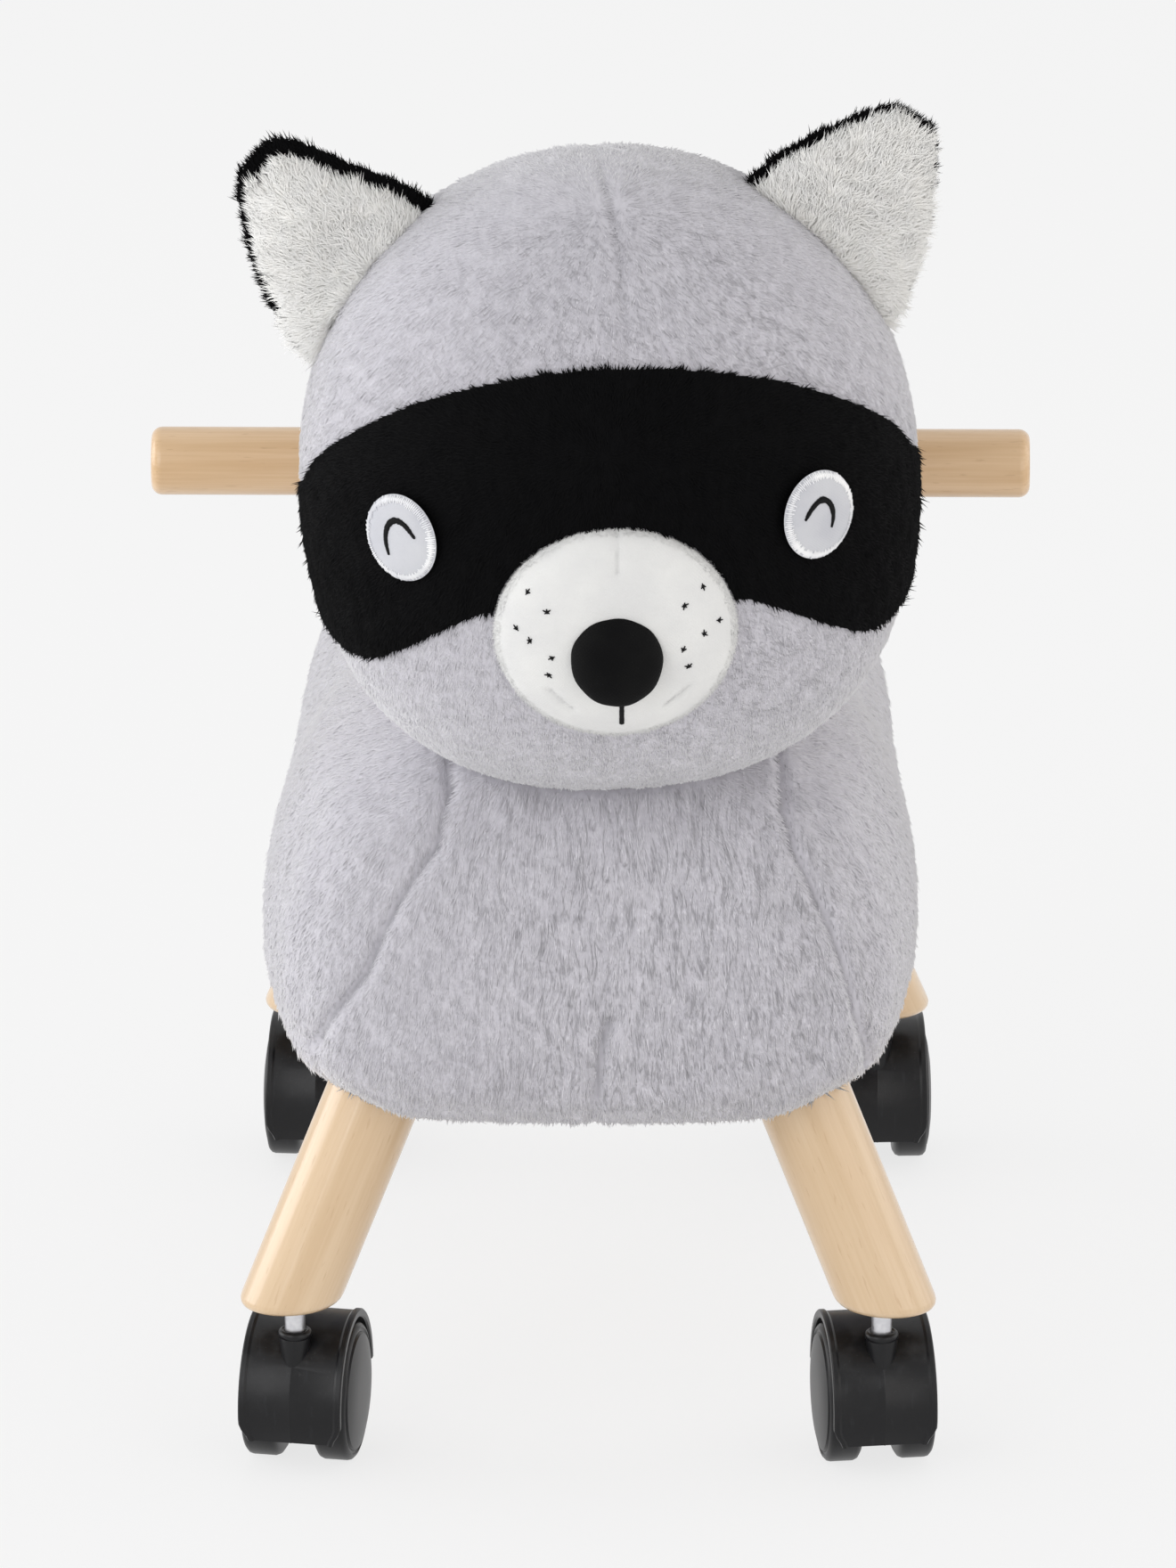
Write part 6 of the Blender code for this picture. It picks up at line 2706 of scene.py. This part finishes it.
@dataclass(frozen=True)
class Lamp:
    """One soft lamp that shines at the toy.

    Attributes:
        name: Its name.
        place: Where it hangs.
        size: Its width and its height.
        power: Its power in watts.
        tint: Its colour.
    """

    name: str
    place: Colour
    size: tuple[float, float]
    power: float
    tint: Colour

    def hang(self) -> None:
        """Hang the lamp."""
        data = bpy.data.lights.new(self.name, "AREA")
        data.shape = "RECTANGLE"
        data.size, data.size_y = self.size
        data.energy = self.power
        data.color = self.tint
        lamp = bpy.data.objects.new(self.name, data)
        lamp.location = self.place
        way = Vector(self.place) - Vector((0, 0, 0.2))
        lamp.rotation_euler = way.to_track_quat("Z", "Y").to_euler()
        bpy.context.scene.collection.objects.link(lamp)


COOL, WARM = (0.985, 0.985, 1.0), (1.0, 0.955, 0.925)
LAMPS = (
    Lamp("key", (-1.9, -2.4, 1.6), (2.2, 2.2), 23.0, COOL),
    Lamp("strip", (-1.7, -3.0, 1.3), (0.2, 2.6), 5.5, COOL),
    Lamp("fill", (2.2, -2.4, 0.7), (2.4, 2.4), 20.0, WARM),
    Lamp("left side", (-2.6, 0.3, 0.6), (2.0, 2.0), 34.0, COOL),
    Lamp("right side", (2.6, 0.4, 1.0), (2.0, 2.0), 12.0, WARM),
    Lamp("top", (0.2, 0.9, 3.0), (2.6, 2.6), 6.0, COOL),
)


@dataclass
class Studio:
    """The photograph's camera, its pale floor and its soft light.

    Attributes:
        target: What the camera looks at.
        distance: How far it stands off.
        elevation: How far it looks down, in degrees.
        azimuth: How far it stands to the side, in degrees.
        focal: Its focal length in millimetres on a sensor 36 mm high.
        backdrop: The colour behind the object.
        glow: How much of the floor's look is that colour and not its own light.
        sky: How bright the even light from all round is.
    """

    target: Colour = (-0.0018, 0.0, 0.2128)
    distance: float = 6.285
    elevation: float = 19.0
    azimuth: float = 0.6
    focal: float = 385.6
    backdrop: Colour = linear(245, 245, 245)
    glow: float = 0.84
    sky: float = 0.70

    def build(self) -> None:
        """Set the camera, the floor, the lights and the world."""
        scene = bpy.context.scene
        scene.view_settings.view_transform = "Standard"
        self.camera(scene)
        self.floor()
        for lamp in LAMPS:
            lamp.hang()
        self.world(scene)

    def camera(self, scene: bpy.types.Scene) -> None:
        """Set the camera at the photograph's angle."""
        up, aside = math.radians(self.elevation), math.radians(self.azimuth)
        level = math.cos(up)
        back = Vector((math.sin(aside) * level, -math.cos(aside) * level, math.sin(up)))
        data = bpy.data.cameras.new("photo camera")
        data.lens = self.focal
        data.sensor_width = 36.0
        data.sensor_fit = "AUTO"
        camera = bpy.data.objects.new("photo camera", data)
        camera.location = Vector(self.target) + back * self.distance
        camera.rotation_euler = back.to_track_quat("Z", "Y").to_euler()
        scene.collection.objects.link(camera)
        scene.camera = camera

    def floor(self) -> None:
        """Lay the pale floor."""
        deselect()
        bpy.ops.mesh.primitive_circle_add(vertices=96, radius=14.0, fill_type="NGON")
        floor = named("floor")
        made = bpy.data.materials.new("pale floor")
        made.use_nodes = True
        desk = NodeDesk(made.node_tree)
        shader = made.node_tree.nodes["Principled BSDF"]
        desk.feed(shader, {
            "Base Color": linear(250, 250, 250), "Roughness": 0.9, "Specular IOR Level": 0.0,
        })
        glow = desk.add("Emission", {"Color": self.backdrop}).outputs[0]
        share = desk.times(desk.seen(), self.glow)
        mixed = desk.add("MixShader", {0: share, 1: shader.outputs[0], 2: glow}).outputs[0]
        desk.feed(made.node_tree.nodes["Material Output"], {0: mixed})
        floor.data.materials.append(made)

    def world(self, scene: bpy.types.Scene) -> None:
        """Set an even sky for the light and a pale one for the camera."""
        world = bpy.data.worlds.new("studio")
        world.use_nodes = True
        desk = NodeDesk(world.node_tree)
        light = world.node_tree.nodes["Background"]
        desk.feed(light, {"Color": (1.0, 1.0, 1.0), "Strength": self.sky})
        pale = desk.add("Background", {"Color": self.backdrop, "Strength": 1.0}).outputs[0]
        parts = {0: desk.seen(), 1: light.outputs[0], 2: pale}
        mixed = desk.add("MixShader", parts).outputs[0]
        desk.feed(world.node_tree.nodes["World Output"], {0: mixed})
        scene.world = world


def report(group: str, pieces: Sequence[Piece]) -> None:
    """Log a group's pieces with their faces."""
    for piece in pieces:
        log.info("%s: %s, %d faces", group, piece.name, len(piece.data.polygons))


def main() -> None:
    """Build the studio and every piece of the toy, in order."""
    logging.basicConfig(level=logging.INFO, format="%(message)s", stream=sys.stdout)
    Studio().build()
    form = HeadForm()
    muzzle = Muzzle(form)
    mask = Mask(form, muzzle)
    plush_body = PlushBody(form)
    body = plush_body.build()
    report("body", [body, *plush_body.fur(body)])
    plush_head = PlushHead(form)
    head = plush_head.build()
    report("head", [head, *plush_head.fur(head, mask, muzzle)])
    snout = muzzle.build()
    report("muzzle", [snout, muzzle.fur(snout), *muzzle.embroider(snout)])
    report("nose", [Nose(muzzle).build()])
    black = mask.build()
    report("mask", [black, mask.fur(black)])
    for side in Side:
        report("eye", Eye(form, side).build())
        report("ear", Ear(form, side).build())
    report("tail", Tail().build())
    report("legs", [leg.build() for leg in Leg.all()])
    report("handle", [HandleBar().build()])
    report("castors", Castor().build())
    log.info("inner frame: %s", ", ".join(InnerFrame.dress()))


if __name__ == "__main__":
    main()
